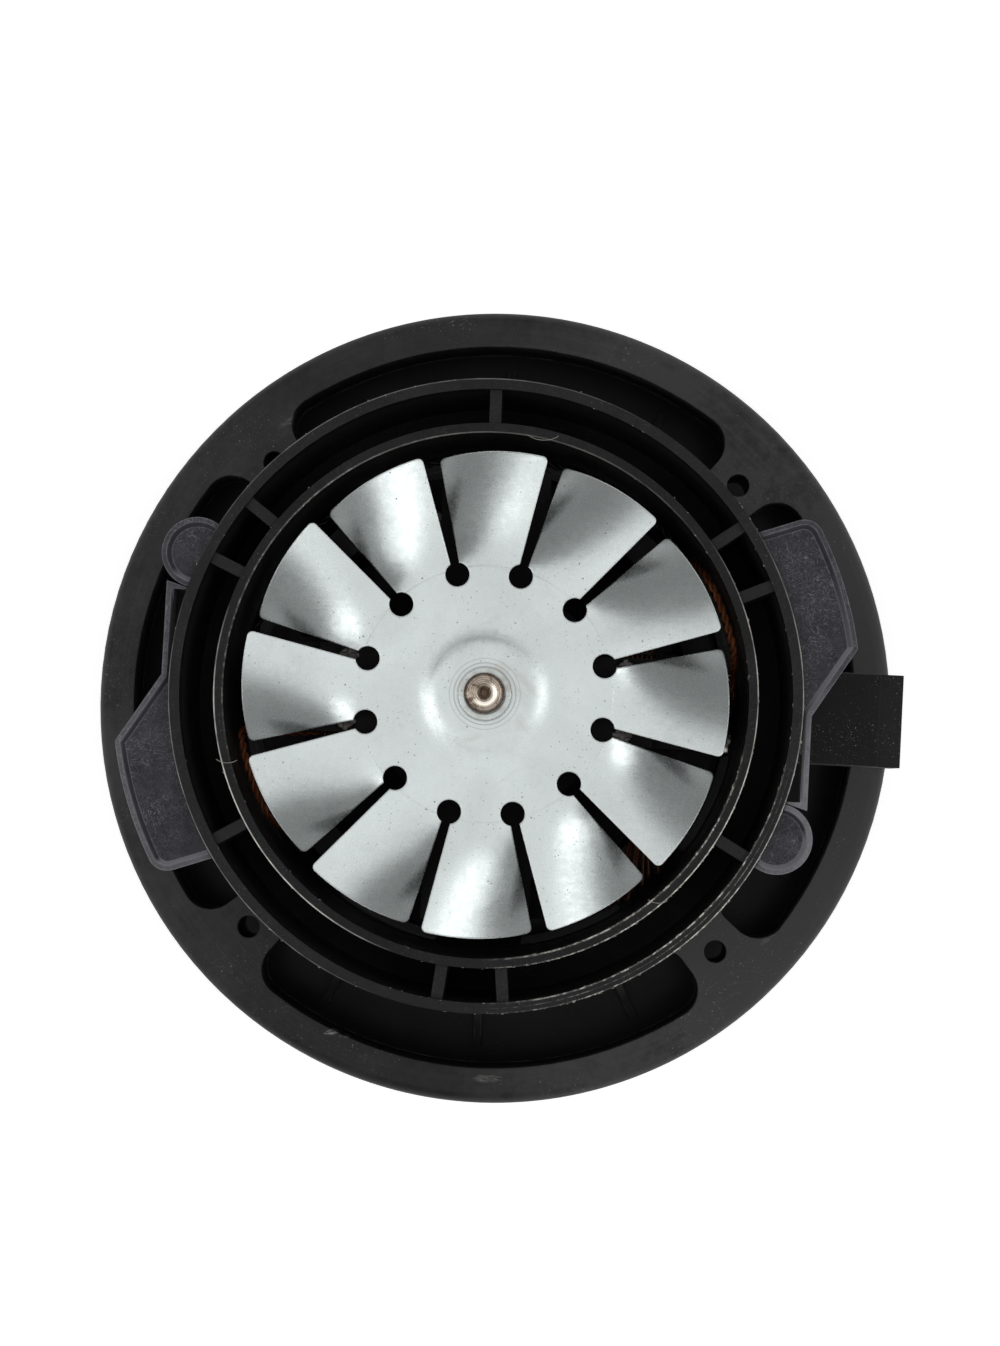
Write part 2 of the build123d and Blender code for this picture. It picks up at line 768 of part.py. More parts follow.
def terminal(side, gap=0):
    """One flat blade in the socket; the gap widens it to a slot."""
    middle = side * terminal_spacing / 2
    end = connector_reach - terminal_tip_gap
    half_thick = terminal_thickness / 2 + gap
    half_wide = terminal_width / 2 + gap
    return slab((end - terminal_length - gap, end + gap), (middle - half_thick, middle + half_thick),
                (connector_middle() - half_wide, connector_middle() + half_wide))


def connector_screws():
    """Two screws from inside the tube into the back of the connector."""
    screws = []
    for y in (-1, 1):
        reach = connector_screw_spacing / 2 + connector_screw_head_radius
        seat = math.sqrt(tube_bore_radius ** 2 - reach ** 2) - seat_gap
        place = Pos(seat, y * connector_screw_spacing / 2, connector_middle())
        one = screw(connector_screw_radius, connector_screw_length, connector_screw_head_radius,
                    connector_screw_head_height)
        screws.append(place * Rot(0, -90, 0) * one)
    return screws


# Stator
def stator_core():
    """The laminated stack with two poles on the X axis."""
    bore = armature_radius + bore_gap
    shoe = bore + shoe_thickness
    blank = Circle(stack_radius) & Rectangle(2 * stack_radius, 2 * stack_flat)
    window = Circle(window_radius) & Rectangle(2 * window_radius, 2 * window_flat)
    wedge = Polygon((0, 0), polar(2 * shoe, shoe_half_angle)[:2], (2 * shoe / math.cos(
        math.radians(shoe_half_angle)), 0), polar(2 * shoe, -shoe_half_angle)[:2], align=None)
    poles = Rectangle(2 * window_radius + overrun, 2 * neck_half_width)
    poles = poles + (Circle(shoe) & wedge) + (Circle(shoe) & Rot(0, 0, half_turn) * wedge)
    sheet = blank - window + (poles & blank) - Circle(bore)
    for x, y in post_places():
        sheet = sheet - Pos(x, y) * Circle(stator_bolt_radius + stator_bolt_hole_gap)
    return extrude(Pos(0, 0, stack_bottom) * sheet, stack_length)


def stator_bolts():
    """Four long bolts from the bridge feet through the stack into the posts."""
    head_at = stack_top + bridge_foot_height
    length = head_at - stack_bottom + stator_bolt_thread
    one = screw(stator_bolt_radius, length, screw_head_radius, screw_head_height)
    return [Pos(x, y, head_at) * one for x, y in post_places()]


def coil_liner():
    """The insulating frame round one pole, with a flange behind the shoe."""
    inside_y = neck_half_width + seat_gap
    inside_z = stack_length / 2 + seat_gap
    start = coil_first_layer_x - coil_wire_radius - liner_gap - liner_flange
    end = coil_first_layer_x + (coil_layers - 1) * coil_pitch + coil_wire_radius
    outer_y = neck_half_width + liner_side
    outer_z = stack_length / 2 + liner_end
    frame = slab((start, end), (-outer_y, outer_y), (stack_middle - outer_z, stack_middle + outer_z))
    frame = fillet(frame.edges().filter_by(Axis.X), coil_corner_radius - coil_wire_radius - liner_gap)
    flange_y = outer_y + liner_flange_rise
    flange_z = outer_z + liner_flange_rise
    flange = slab((start, start + liner_flange), (-flange_y, flange_y),
                  (stack_middle - flange_z, stack_middle + flange_z))
    flange = fillet(flange.edges().filter_by(Axis.X), coil_corner_radius)
    hole = slab((start - overrun, end + overrun), (-inside_y, inside_y),
                (stack_middle - inside_z, stack_middle + inside_z))
    return frame + flange - hole


def coil_runs():
    """The side, offset and layer of every straight run of a field coil, in order.

    The loops spiral in and out again by a quarter pitch each quarter turn, and climb a
    layer along the first run after each reversal."""
    quarter = 4
    runs = []
    for n in range(coil_layers * coil_turns * quarter + 1):
        layer, step = divmod(n, coil_turns * quarter)
        inward = layer % 2 == 0
        offset_turns = coil_turns - step / quarter if inward else step / quarter
        climbs = step == 0 and 0 < layer < coil_layers
        runs.append((n % quarter, offset_turns, min(layer, coil_layers), climbs))
    return runs


def coil_path():
    """The centre line of one field coil, as a list of tangent edges."""
    first_y = neck_half_width + liner_side + liner_gap + coil_wire_radius
    first_z = stack_length / 2 + liner_end + liner_gap + coil_wire_radius
    ways = [(0, 1), (-1, 0), (0, -1), (1, 0)]
    runs = coil_runs()
    x = coil_first_layer_x
    point = (x, first_y + coil_pitch * runs[0][1], stack_middle - coil_tail_height / 2)
    edges = []

    def line_to(target):
        edges.append(Line(point, target))
        return target

    for here, after in zip(runs, runs[1:]):
        side, offset_here, layer, climbs = here
        way, next_way = ways[side], ways[after[0]]
        if climbs:
            low = (x, point[1], stack_middle - coil_climb_height / 2)
            point = line_to(low)
            radius = (coil_climb_height ** 2 + coil_pitch ** 2) / (4 * coil_pitch)
            half = math.atan2(coil_pitch, coil_climb_height)
            middle = (x + coil_pitch / 2, point[1], stack_middle)
            top = (x + coil_pitch, point[1], stack_middle + coil_climb_height / 2)
            bow = radius * (1 - math.cos(half))
            rise = radius * math.sin(half)
            edges.append(ThreePointArc(low, (x + bow, point[1], low[2] + rise), middle))
            edges.append(ThreePointArc(middle, (top[0] - bow, point[1], top[2] - rise), top))
            point = top
            x = x + coil_pitch
        lengths = {0: first_y, 1: first_z, 2: first_y, 3: first_z}
        reach_here = lengths[side] + coil_pitch * offset_here
        reach_next = lengths[after[0]] + coil_pitch * after[1]
        signs = {0: (1, 1), 1: (-1, 1), 2: (-1, -1), 3: (1, -1)}[side]
        if side in (0, 2):
            corner = (signs[0] * reach_here, signs[1] * reach_next)
        else:
            corner = (signs[0] * reach_next, signs[1] * reach_here)
        radius = coil_corner_radius + coil_pitch * (offset_here + after[1]) / 2
        start = [corner[k] - radius * way[k] for k in (0, 1)]
        end = [corner[k] + radius * next_way[k] for k in (0, 1)]
        centre = [start[k] + radius * next_way[k] for k in (0, 1)]
        middle = [centre[k] + radius * (way[k] - next_way[k]) / math.sqrt(2) for k in (0, 1)]
        start, middle, end = [(x, p[0], stack_middle + p[1]) for p in (start, middle, end)]
        point = line_to(start)
        edges.append(ThreePointArc(start, middle, end))
        point = end
    line_to((x, point[1], stack_middle + coil_tail_height / 2))
    return edges


def least_gap(edges):
    """The least distance between two turns of a path, less the wire."""
    points = []
    travelled = 0.0
    for edge in edges:
        count = max(2, round(edge.length / coil_sample_step))
        for k in range(count):
            place = edge @ (k / count)
            points.append((travelled + edge.length * k / count, place.X, place.Y, place.Z))
        travelled += edge.length
    apart = coil_neighbour_pitches * coil_pitch
    least = apart
    for k, one in enumerate(points):
        for other in points[k + 1:]:
            if other[0] - one[0] > apart and abs(other[1] - one[1]) < least:
                least = min(least, math.dist(one[1:], other[1:]))
    return least - 2 * coil_wire_radius


def field_coil():
    """One field coil, wound as a single unbroken wire."""
    edges = coil_path()
    gap = least_gap(edges)
    print("field coil loops", coil_layers * coil_turns, "least gap", round(gap, 3),
          "is above", least_coil_gap, gap > least_coil_gap)
    path = Wire([edge.edge() for edge in edges])
    start = path @ 0
    profile = Plane(origin=start, z_dir=path % 0) * Circle(coil_wire_radius)
    return sweep(profile, path=path)


# Armature

def armature_core():
    """The laminated rotor stack with its winding slots."""
    core = tube(armature_radius, shaft_radius + seat_gap, stack_bottom, stack_top)
    slot = upright(slot_radius, stack_bottom - overrun, stack_top + overrun, slot_circle)
    mouth = slab((slot_circle, armature_radius + overrun), (-slot_mouth / 2, slot_mouth / 2),
                 (stack_bottom - overrun, stack_top + overrun))
    return core - around(slot + mouth, slot_count)


def armature_winding():
    """The end turns on both sides, joined by the wires in the slots."""
    body = None
    for low in (stack_bottom - core_insulator - winding_height, stack_top + core_insulator):
        bulge = tube(winding_radius, winding_root_radius, low, low + winding_height)
        far = bulge.edges().sort_by(Axis.Z)[-2:] if low > stack_middle else bulge.edges().sort_by(Axis.Z)[:2]
        bulge = fillet(far.sort_by(SortBy.RADIUS)[-1], winding_round)
        body = bulge if body is None else body + bulge
    fill = upright(slot_radius - slot_fill_gap, stack_bottom - 2 * core_insulator,
                   stack_top + 2 * core_insulator, slot_circle)
    return body + around(fill, slot_count)


def armature_end_discs():
    """The two insulating discs on the ends of the rotor stack."""
    discs = []
    for low in (stack_bottom - core_insulator, stack_top):
        disc = tube(armature_radius - core_insulator, shaft_radius + seat_gap, low, low + core_insulator)
        hole = upright(slot_radius, low - overrun, low + core_insulator + overrun, slot_circle)
        mouth = slab((slot_circle, armature_radius + overrun), (-slot_mouth / 2, slot_mouth / 2),
                     (low - overrun, low + core_insulator + overrun))
        discs.append(disc - around(hole + mouth, slot_count))
    return discs


def commutator_hub():
    """The moulded core that carries the copper bars."""
    top = commutator_bottom + commutator_length
    radius = commutator_radius - commutator_bar_depth
    bottom = stack_top + core_insulator + winding_height
    return tube(radius, shaft_radius + seat_gap, bottom, top + hub_overhang)


def commutator_bars_group():
    """The copper bars, with a narrow gap between neighbours."""
    inner = commutator_radius - commutator_bar_depth + seat_gap
    top = commutator_bottom + commutator_length
    ring = tube(commutator_radius, inner, commutator_bottom, top)
    half = full_turn / commutator_bars / 2
    blank = slab((0, commutator_radius + overrun), (-commutator_radius, commutator_radius),
                 (commutator_bottom - overrun, top + overrun))
    near = Rot(0, 0, half) * slab((-overrun, commutator_radius + 2 * overrun),
                                  (-commutator_gap_width / 2, commutator_radius),
                                  (commutator_bottom - overrun, top + overrun))
    far = Rot(0, 0, -half) * slab((-overrun, commutator_radius + 2 * overrun),
                                  (-commutator_radius, commutator_gap_width / 2),
                                  (commutator_bottom - overrun, top + overrun))
    bar = (ring & blank) - near - far
    return around(bar, commutator_bars)


def shaft():
    """The rotor shaft, with a centre drilling and chamfers at the ends."""
    body = upright(shaft_radius, shaft_bottom, shaft_top)
    body = chamfer(body.edges().filter_by(GeomType.CIRCLE), shaft_chamfer)
    dimple = Pos(0, 0, shaft_top - centre_drill_depth / 2) * Cone(
        0, centre_drill_radius, centre_drill_depth, align=MIDDLE)
    return body - dimple


# Bearings

def outer_race(bottom):
    """The fixed outer race with its ball groove."""
    middle = bottom + bearing_height / 2
    ring = tube(bearing_outer_radius, bearing_outer_radius - race_wall, bottom, bottom + bearing_height)
    return ring - ball_groove(middle)


def inner_race(bottom):
    """The inner race that turns with the shaft."""
    middle = bottom + bearing_height / 2
    inner = shaft_radius + seat_gap
    ring = tube(inner + race_wall, inner, bottom, bottom + bearing_height)
    return ring - ball_groove(middle)


def ball_circle():
    """The radius of the circle that the balls run on."""
    return (shaft_radius + bearing_outer_radius) / 2


def ball_groove(middle):
    """The ring shaped space that the balls roll in."""
    return Pos(0, 0, middle) * Torus(ball_circle(), ball_radius + ball_gap)


def balls(bottom):
    """The balls of one bearing."""
    ball = Pos(ball_circle(), 0, bottom + bearing_height / 2) * Sphere(ball_radius)
    return around(ball, ball_count)


# Bearing bridge

def bridge_top():
    """The top of the bearing boss."""
    return upper_bearing_bottom + bearing_height + wave_washer + bridge_lip


def bearing_bridge():
    """The moulded bridge over the commutator, with two legs down to the stack."""
    arm_top = bridge_arm_bottom + bridge_arm_thickness
    arms = slab((-bridge_arm_half_width, bridge_arm_half_width), (-bridge_reach, bridge_reach),
                (bridge_arm_bottom, arm_top))
    wings = slab((-wing_reach, wing_reach), (-wing_half_width, wing_half_width),
                 (arm_top, arm_top + wing_thickness))
    body = arms + wings
    for side in (-1, 1):
        near, far = sorted((side * bridge_reach, side * (bridge_reach - bridge_leg_thickness)))
        body = body + slab((-bridge_arm_half_width, bridge_arm_half_width), (near, far),
                           (stack_top, arm_top))
        near, far = sorted((side * bridge_reach, side * bridge_foot_inner_y))
        foot = slab((-bridge_foot_half_width, bridge_foot_half_width), (near, far),
                    (stack_top, stack_top + bridge_foot_height))
        body = body + foot
    body = body + upright(bridge_boss_radius, bridge_arm_bottom, bridge_top())
    body = body & upright(stack_radius, stack_top, bridge_top())
    body = body - upright(bridge_boss_radius - bridge_skirt_wall, bridge_arm_bottom - overrun,
                          upper_bearing_bottom)
    body = body - upright(bearing_outer_radius + seat_gap, bridge_arm_bottom,
                          bridge_top() - bridge_lip)
    body = body - upright(bridge_lip_hole_radius, bridge_arm_bottom, bridge_top() + overrun)
    tube_half = brush_width / 2 + brush_gap + brush_tube_wall + running_gap
    tube_high = brush_middle + brush_height / 2 + brush_gap + brush_tube_wall + running_gap
    body = body - slab((-brush_tube_end, brush_tube_end), (-tube_half, tube_half), (stack_top, tube_high))
    for x, y in post_places():
        body = body - upright(stator_bolt_radius + stator_bolt_hole_gap, stack_top - overrun,
                              stack_top + bridge_foot_height + overrun, x, y)
    for x, y in holder_screw_places():
        body = body - upright(holder_screw_radius + screw_hole_gap, arm_top - overrun,
                              arm_top + wing_thickness + overrun, x, y)
    return body


def bearing_wave_washer():
    """The washer that loads the upper bearing."""
    low = upper_bearing_bottom + bearing_height
    return tube(bearing_outer_radius - seat_gap, bearing_outer_radius - race_wall, low, low + wave_washer)


# Brush gear on the +X side; the other side is the same, turned half round

def holder_screw_places():
    """Where the four brush holder screws stand."""
    return [(x * holder_screw_x, y * holder_screw_y) for x in (-1, 1) for y in (-1, 1)]


def brush_space(x_range, growth):
    """A box along the brush, grown on its four sides."""
    half_width = brush_width / 2 + growth
    half_height = brush_height / 2 + growth
    return slab(x_range, (-half_width, half_width), (brush_middle - half_height, brush_middle + half_height))


def carbon_brush():
    """A carbon block with a hollowed face on the commutator."""
    start = commutator_radius - overrun
    body = brush_space((start, commutator_radius + brush_length), 0)
    return body - upright(commutator_radius + brush_face_gap, 0, collar_top)


def brush_tube():
    """The brass tube that guides the brush, closed at its outer end."""
    outer = brush_space((brush_tube_start, brush_tube_end), brush_gap + brush_tube_wall)
    inner = brush_space((brush_tube_start - overrun, brush_tube_end - brush_tube_wall), brush_gap)
    return outer - inner


def brush_holder():
    """The insulating block that carries the brass tube under the bridge wing."""
    top = bridge_arm_bottom + bridge_arm_thickness
    body = slab((holder_start, holder_end), (-holder_half_width, holder_half_width),
                (brush_middle - holder_bottom_drop, top))
    body = fillet(body.edges().filter_by(Axis.Z), brush_tube_wall)
    body = body - brush_space((0, 2 * holder_end), brush_gap + brush_tube_wall + seat_gap)
    for side in (-1, 1):
        body = body - upright(holder_screw_radius + pilot_gap, top - holder_screw_length, top + overrun,
                              holder_screw_x, side * holder_screw_y)
    return body


def brush_holder_screws():
    """The small screws through the bridge wings into the holders."""
    seat = bridge_arm_bottom + bridge_arm_thickness + wing_thickness
    one = screw(holder_screw_radius, holder_screw_length, holder_screw_head_radius,
                holder_screw_head_height)
    return [Pos(x, y, seat) * one for x, y in holder_screw_places()]


def brush_spring():
    """The coil spring between the brush and the end of its tube."""
    start = commutator_radius + brush_length + spring_wire_radius + spring_end_gap
    end = brush_tube_end - brush_tube_wall - spring_wire_radius - spring_end_gap
    height = end - start
    helix = Helix(pitch=height / spring_turns, height=height, radius=spring_radius)
    profile = Plane(origin=helix @ 0, z_dir=helix % 0) * Circle(spring_wire_radius)
    spring = sweep(profile, path=helix)
    return Pos(start, 0, brush_middle) * Rot(0, 90, 0) * spring


# Leads

def lead_tube(edges):
    """An insulated wire along a line of tangent edges."""
    path = Wire([edge.edge() for edge in edges])
    profile = Plane(origin=path @ 0, z_dir=path % 0) * Circle(lead_radius)
    return sweep(profile, path=path)


def bend(start, corner, end):
    """A quarter turn between two points at the same distance from a corner."""
    centre = [start[k] + end[k] - corner[k] for k in range(3)]
    middle = [centre[k] + (corner[k] - centre[k]) / math.sqrt(2) for k in range(3)]
    return ThreePointArc(start, tuple(middle), end)


def coil_outer_face():
    """How far the outer layer of a field coil stands from the shaft, with a gap for a lead."""
    return coil_first_layer_x + (coil_layers - 1) * coil_pitch + coil_wire_radius + lead_end_gap


def lead_rise(riser_x, y):
    """The common start of both leads: out of the connector and up beside the stack."""
    low = lead_entry_height
    r = lead_entry_radius
    start = (lead_start_x, y, low)
    turn = (riser_x + r, y, low)
    up = (riser_x, y, low + r)
    return [Line(start, turn), bend(turn, (riser_x, y, low), up)], up


def lead_short():
    """The lead that turns straight in to the near field coil."""
    y = -lead_spacing / 4
    r = lead_bend_radius
    edges, up = lead_rise(lead_circle, y)
    high = (lead_circle, y, lead_height - r)
    over = (lead_circle - r, y, lead_height)
    edges += [Line(up, high), bend(high, (lead_circle, y, lead_height), over),
              Line(over, (coil_outer_face(), y, lead_height))]
    return lead_tube(edges)


def lead_long():
    """The lead that runs round inside the housing to the far field coil."""
    y = lead_spacing / 4
    r = lead_bend_radius
    riser = math.hypot(lead_circle, r)
    first = math.degrees(math.asin(y / riser) + math.atan2(r, lead_circle))
    last = lead_long_end_angle
    riser_x = math.sqrt(riser ** 2 - y ** 2)
    edges, up = lead_rise(riser_x, y)
    high = (riser_x, y, lead_height - r)
    ring_start = polar(lead_circle, first, lead_height)
    ring_middle = polar(lead_circle, (first + last) / 2, lead_height)
    ring_end = polar(lead_circle, last, lead_height)
    edges += [Line(up, high), bend(high, (riser_x, y, lead_height), ring_start),
              ThreePointArc(ring_start, ring_middle, ring_end)]
    along = polar(r, last + full_turn / 4)
    inward = polar(r, last + half_turn)
    corner = tuple(ring_end[k] + along[k] for k in range(3))
    turned_in = tuple(corner[k] + inward[k] for k in range(3))
    run = (-turned_in[0] - coil_outer_face()) / inward[0]
    end = tuple(turned_in[k] + run * inward[k] for k in range(3))
    edges += [bend(ring_end, corner, turned_in), Line(turned_in, end)]
    return lead_tube(edges)


# Cooling fan

def petal():
    """The plan shape of one blade, with rounded tip corners."""
    half_angle = math.pi / fan_blades
    half_root = blade_start * half_angle - slit_at_root / 2
    tip_offset = math.degrees(half_angle - slit_at_tip / 2 / fan_radius)
    high = polar(fan_radius, tip_offset)
    low = polar(fan_radius, -tip_offset)
    root_high = (blade_start, half_root, 0)
    root_low = (blade_start, -half_root, 0)
    face = make_face([Line(root_low, low), ThreePointArc(low, (fan_radius, 0, 0), high),
                      Line(high, root_high), Line(root_high, root_low)])
    tips = [v for v in face.vertices() if v.X > relief_circle]
    return fillet(tips, blade_corner_radius)


def blade_section(radius, share, shrink=0):
    """The bent cross section of a blade at a radius, with its share of the full twist."""
    half = radius * math.pi / fan_blades
    rise = blade_rise * share
    drop = blade_drop * share
    bow = blade_bow * share + shrink / 2
    top = fan_top - shrink
    under = fan_under + shrink

    def curve(level, first, last):
        middle = (radius, 0, level + (rise - drop) / 2 + bow)
        ends = {-1: (radius, -half, level + rise), 1: (radius, half, level - drop)}
        return ThreePointArc(ends[first], middle, ends[last])

    upper = curve(top, -1, 1)
    lower = curve(under, 1, -1)
    return make_face([upper, Line(upper @ 1, lower @ 0), lower, Line(lower @ 1, upper @ 0)])


def dome_solid(bottom, base, top):
    """A soft dome on the shaft's axis, with an S shaped flank."""
    half_run = (fan_dome_radius - fan_dome_top_radius) / 2
    middle_radius = fan_dome_top_radius + half_run
    middle = (base + top) / 2
    swell = fan_dome_round_share * (top - base)
    flank_low = ThreePointArc((fan_dome_radius, 0, base), (fan_dome_radius - half_run / 2, 0, base + swell),
                              (middle_radius, 0, middle))
    shoulder = (fan_dome_top_radius + half_run / 2, 0, top - swell)
    flank_high = ThreePointArc((middle_radius, 0, middle), shoulder, (fan_dome_top_radius, 0, top))
    outline = [Line((0, 0, bottom), (fan_dome_radius, 0, bottom)),
               Line((fan_dome_radius, 0, bottom), (fan_dome_radius, 0, base)), flank_low, flank_high,
               Line((fan_dome_top_radius, 0, top), (0, 0, top)), Line((0, 0, top), (0, 0, bottom))]
    return revolve(make_face(outline), Axis.Z)


def cooling_fan():
    """A pressed sheet fan with twelve twisted blades and a raised centre."""
    sections = [blade_section(blade_twist_radii[0], blade_twist_shares[0], blade_root_shrink)]
    for radius, share in zip(blade_twist_radii[1:], blade_twist_shares[1:]):
        sections.append(blade_section(radius, share))
    sections.append(blade_section(fan_radius + overrun, 1))
    plan = petal()
    mask = extrude(Pos(0, 0, fan_under - 2 * blade_drop) * plan, 4 * blade_drop)
    blade = loft(sections) & mask
    flat = extrude(Pos(0, 0, fan_under) * plan, fan_sheet)
    flat = flat & upright(blade_bend_start + overrun / 2, fan_under, fan_top)
    disc = upright(relief_circle, fan_under, fan_top)
    dome_top = fan_top + fan_dome_rise
    dome = dome_solid(fan_under, fan_top, dome_top)
    hollow = dome_solid(fan_under - overrun, fan_under, dome_top - fan_sheet)
    body = disc + dome - hollow
    body = body + around(flat, fan_blades)
    body = body + around(blade, fan_blades)
    relief = upright(relief_radius, fan_under - overrun, fan_top + overrun, relief_circle)
    body = body - around(relief, fan_blades, half_turn / fan_blades)
    body = body - upright(fan_hub_radius + seat_gap, 0, 2 * collar_top)
    return Rot(0, 0, fan_rest_angle) * body


def fan_hub():
    """The bush that carries the fan on the shaft."""
    sheet_under = fan_top + fan_dome_rise - fan_sheet
    bottom = upper_bearing_bottom + bearing_height
    body = upright(fan_hub_radius, bottom, sheet_under + fan_sheet + fan_hub_above)
    body = body + upright(fan_hub_flange_radius, sheet_under - fan_hub_flange, sheet_under)
    return body - upright(shaft_radius + seat_gap, 0, 2 * collar_top)


def main():
    os.makedirs("parts", exist_ok=True)
    write("fan_shell", fan_shell())
    write("impeller_front_disc", impeller_front())
    write("impeller_back_disc", impeller_back())
    write("impeller_vanes", *impeller_vanes())
    write("impeller_spacer", impeller_spacer())
    write("impeller_washer", impeller_washer())
    write("impeller_nut", impeller_nut())
    write("fan_end_bracket", fan_end_bracket())
    write("bracket_screws", *bracket_screws())
    write("shaft_seal", shaft_seal())
    write("base_flange", base_flange())
    write("motor_housing", motor_housing())
    write("housing_screws", *housing_screws())
    write("inner_ring", inner_ring())
    write("outer_collar", outer_collar())
    write("connector_housing", connector_housing())
    write("connector_terminals", terminal(-1), terminal(1))
    write("connector_screws", *connector_screws())
    write("stator_core", stator_core())
    write("stator_bolts", *stator_bolts())
    liner = coil_liner()
    coil = field_coil()
    write("coil_liner_right", liner)
    write("coil_liner_left", opposite(liner))
    write("field_coil_right", coil)
    write("field_coil_left", opposite(coil))
    write("armature_core", armature_core())
    write("armature_winding", armature_winding())
    write("armature_end_discs", *armature_end_discs())
    write("commutator_hub", commutator_hub())
    write("commutator_bars", *commutator_bars_group())
    write("shaft", shaft())
    for name, bottom in (("lower", lower_bearing_bottom), ("upper", upper_bearing_bottom)):
        write(f"{name}_bearing_outer_race", outer_race(bottom))
        write(f"{name}_bearing_inner_race", inner_race(bottom))
        write(f"{name}_bearing_balls", *balls(bottom))
    write("bearing_bridge", bearing_bridge())
    write("bearing_wave_washer", bearing_wave_washer())
    for make in (carbon_brush, brush_tube, brush_holder, brush_spring):
        piece = make()
        write(f"{make.__name__}_right", piece)
        write(f"{make.__name__}_left", opposite(piece))
    write("brush_holder_screws", *brush_holder_screws())
    write("lead_wire_short", lead_short())
    write("lead_wire_long", lead_long())
    write("cooling_fan", cooling_fan())
    write("fan_hub", fan_hub())


main()
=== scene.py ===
"""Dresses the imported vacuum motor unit: camera, finishes, windings, small moulding detail and stage."""

import random
from functools import partial, reduce
from math import cos, pi, radians, sin, tau

import bmesh
import bpy
from bpy.props import FloatProperty, FloatVectorProperty, IntProperty, PointerProperty
from mathutils import Matrix, Vector


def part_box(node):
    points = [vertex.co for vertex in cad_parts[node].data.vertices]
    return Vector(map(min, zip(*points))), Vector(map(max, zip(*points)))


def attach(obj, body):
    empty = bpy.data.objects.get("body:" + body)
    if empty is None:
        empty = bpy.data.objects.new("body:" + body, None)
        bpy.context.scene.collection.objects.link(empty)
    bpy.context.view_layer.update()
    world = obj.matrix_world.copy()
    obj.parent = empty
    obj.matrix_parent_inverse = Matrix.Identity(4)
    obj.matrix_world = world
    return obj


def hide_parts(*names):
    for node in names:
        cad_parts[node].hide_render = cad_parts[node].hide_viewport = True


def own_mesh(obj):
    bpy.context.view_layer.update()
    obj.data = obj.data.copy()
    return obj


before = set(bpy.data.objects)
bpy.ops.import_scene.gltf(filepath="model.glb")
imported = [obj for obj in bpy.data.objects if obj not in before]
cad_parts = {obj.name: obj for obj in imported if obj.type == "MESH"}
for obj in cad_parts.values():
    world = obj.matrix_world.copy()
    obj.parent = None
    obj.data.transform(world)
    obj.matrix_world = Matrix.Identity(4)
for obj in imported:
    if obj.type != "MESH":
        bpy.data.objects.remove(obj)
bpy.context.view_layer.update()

bl_info = {
    "name": "Vacuum Motor Unit Dressing",
    "version": (1, 0, 0),
    "blender": (4, 5, 0),
    "location": "View3D > Sidebar > Motor Unit",
    "description": "Finishes, windings, small detail, stage and camera for a vacuum motor unit",
    "category": "Object",
}

# Lengths are in metres and angles in degrees, unless a name says otherwise.
MM = 0.001
COLLAR_TOP = 0.120
PHOTO_SIZE = (1000, 1346)
FOCAL_PIXELS = 2730.0
AXIS_PIXELS = (485.4, 694.6)
CAMERA_LEAN = (-51.0, 109.0)
CAMERA_ROLL = -3.0
FLOOR_HEIGHT = -0.0005
FLOOR_RADIUS = 4.0
FLOOR_OPENING = (0.0655, 0.0660)
# Radii over which the floor fades from a painted shadow to its own colour.
FLOOR_PAINTED_SHADOW = (0.0815, 0.0925)
FLOOR_GLOW = (0.0885, 0.096)
KEY_LAMP = (64, (5.0, 3.0))
RIGHT_LAMP = (26, (-3.0, 33.0))
LEFT_LAMP = (26, (7.0, -31.0))
SKY_STOPS = ((0.0, 1.0), (0.22, 1.0), (0.34, 0.30), (0.70, 0.26))
ROUTE_STEP = 0.0005
ROUTE_PASSES = 6
FLASH = {"collar_flash": ((0.0641, 0.0619), 3), "ring_flash": ((0.0550, 0.05305), 8)}
FIBRES = ((80.5, 1.0, 3.6), (197.0, -1.0, 2.4), (-47.0, 1.0, 2.2))
FIBRE_CIRCLE = 0.0538
COLLAR_EDGES = (0.06405, 0.06195)
RING_EDGES = (0.05495, 0.05312)
LUG_TOP = 0.1168
# Heights over which the upper ends of windings, stacks and liners are painted black as shade.
PAINTED_SHADE_LINE = (0.0835, 0.0875)
CONNECTOR_TIP = (0.0835, 0.0845)
SLOT_WIRES = ((0, 0), (-1.3, 0.6), (-1.3, -0.6), (0.5, 1.2), (0.5, -1.2), (-0.5, 1.5), (1.4, 0.2))
SPRING = {"wire": 0.0003, "coil": 0.0025, "middle": 0.1055, "seat": 0.0462, "travel": 0.007}


def colour_of(name, description, default):
    """A colour that a user would change."""
    return FloatVectorProperty(name=name, description=description, default=default,
                               subtype="COLOR", size=3, min=0.0, max=1.0)


def length_of(name, description, default):
    """A length that a user would change, in metres."""
    return FloatProperty(name=name, description=description, default=default,
                         unit="LENGTH", subtype="DISTANCE", min=0.0, precision=5)


def share_of(name, description, default):
    """A share between nothing and all."""
    return FloatProperty(name=name, description=description, default=default,
                         subtype="FACTOR", min=0.0, max=1.0)


def shade(colour, share):
    """The colour made darker or lighter."""
    return tuple(min(1.0, c * share) for c in colour)


def strength_of(name, description, default, most=10.0):
    """The strength of a light."""
    return FloatProperty(name=name, description=description, default=default, min=0.0, max=most)


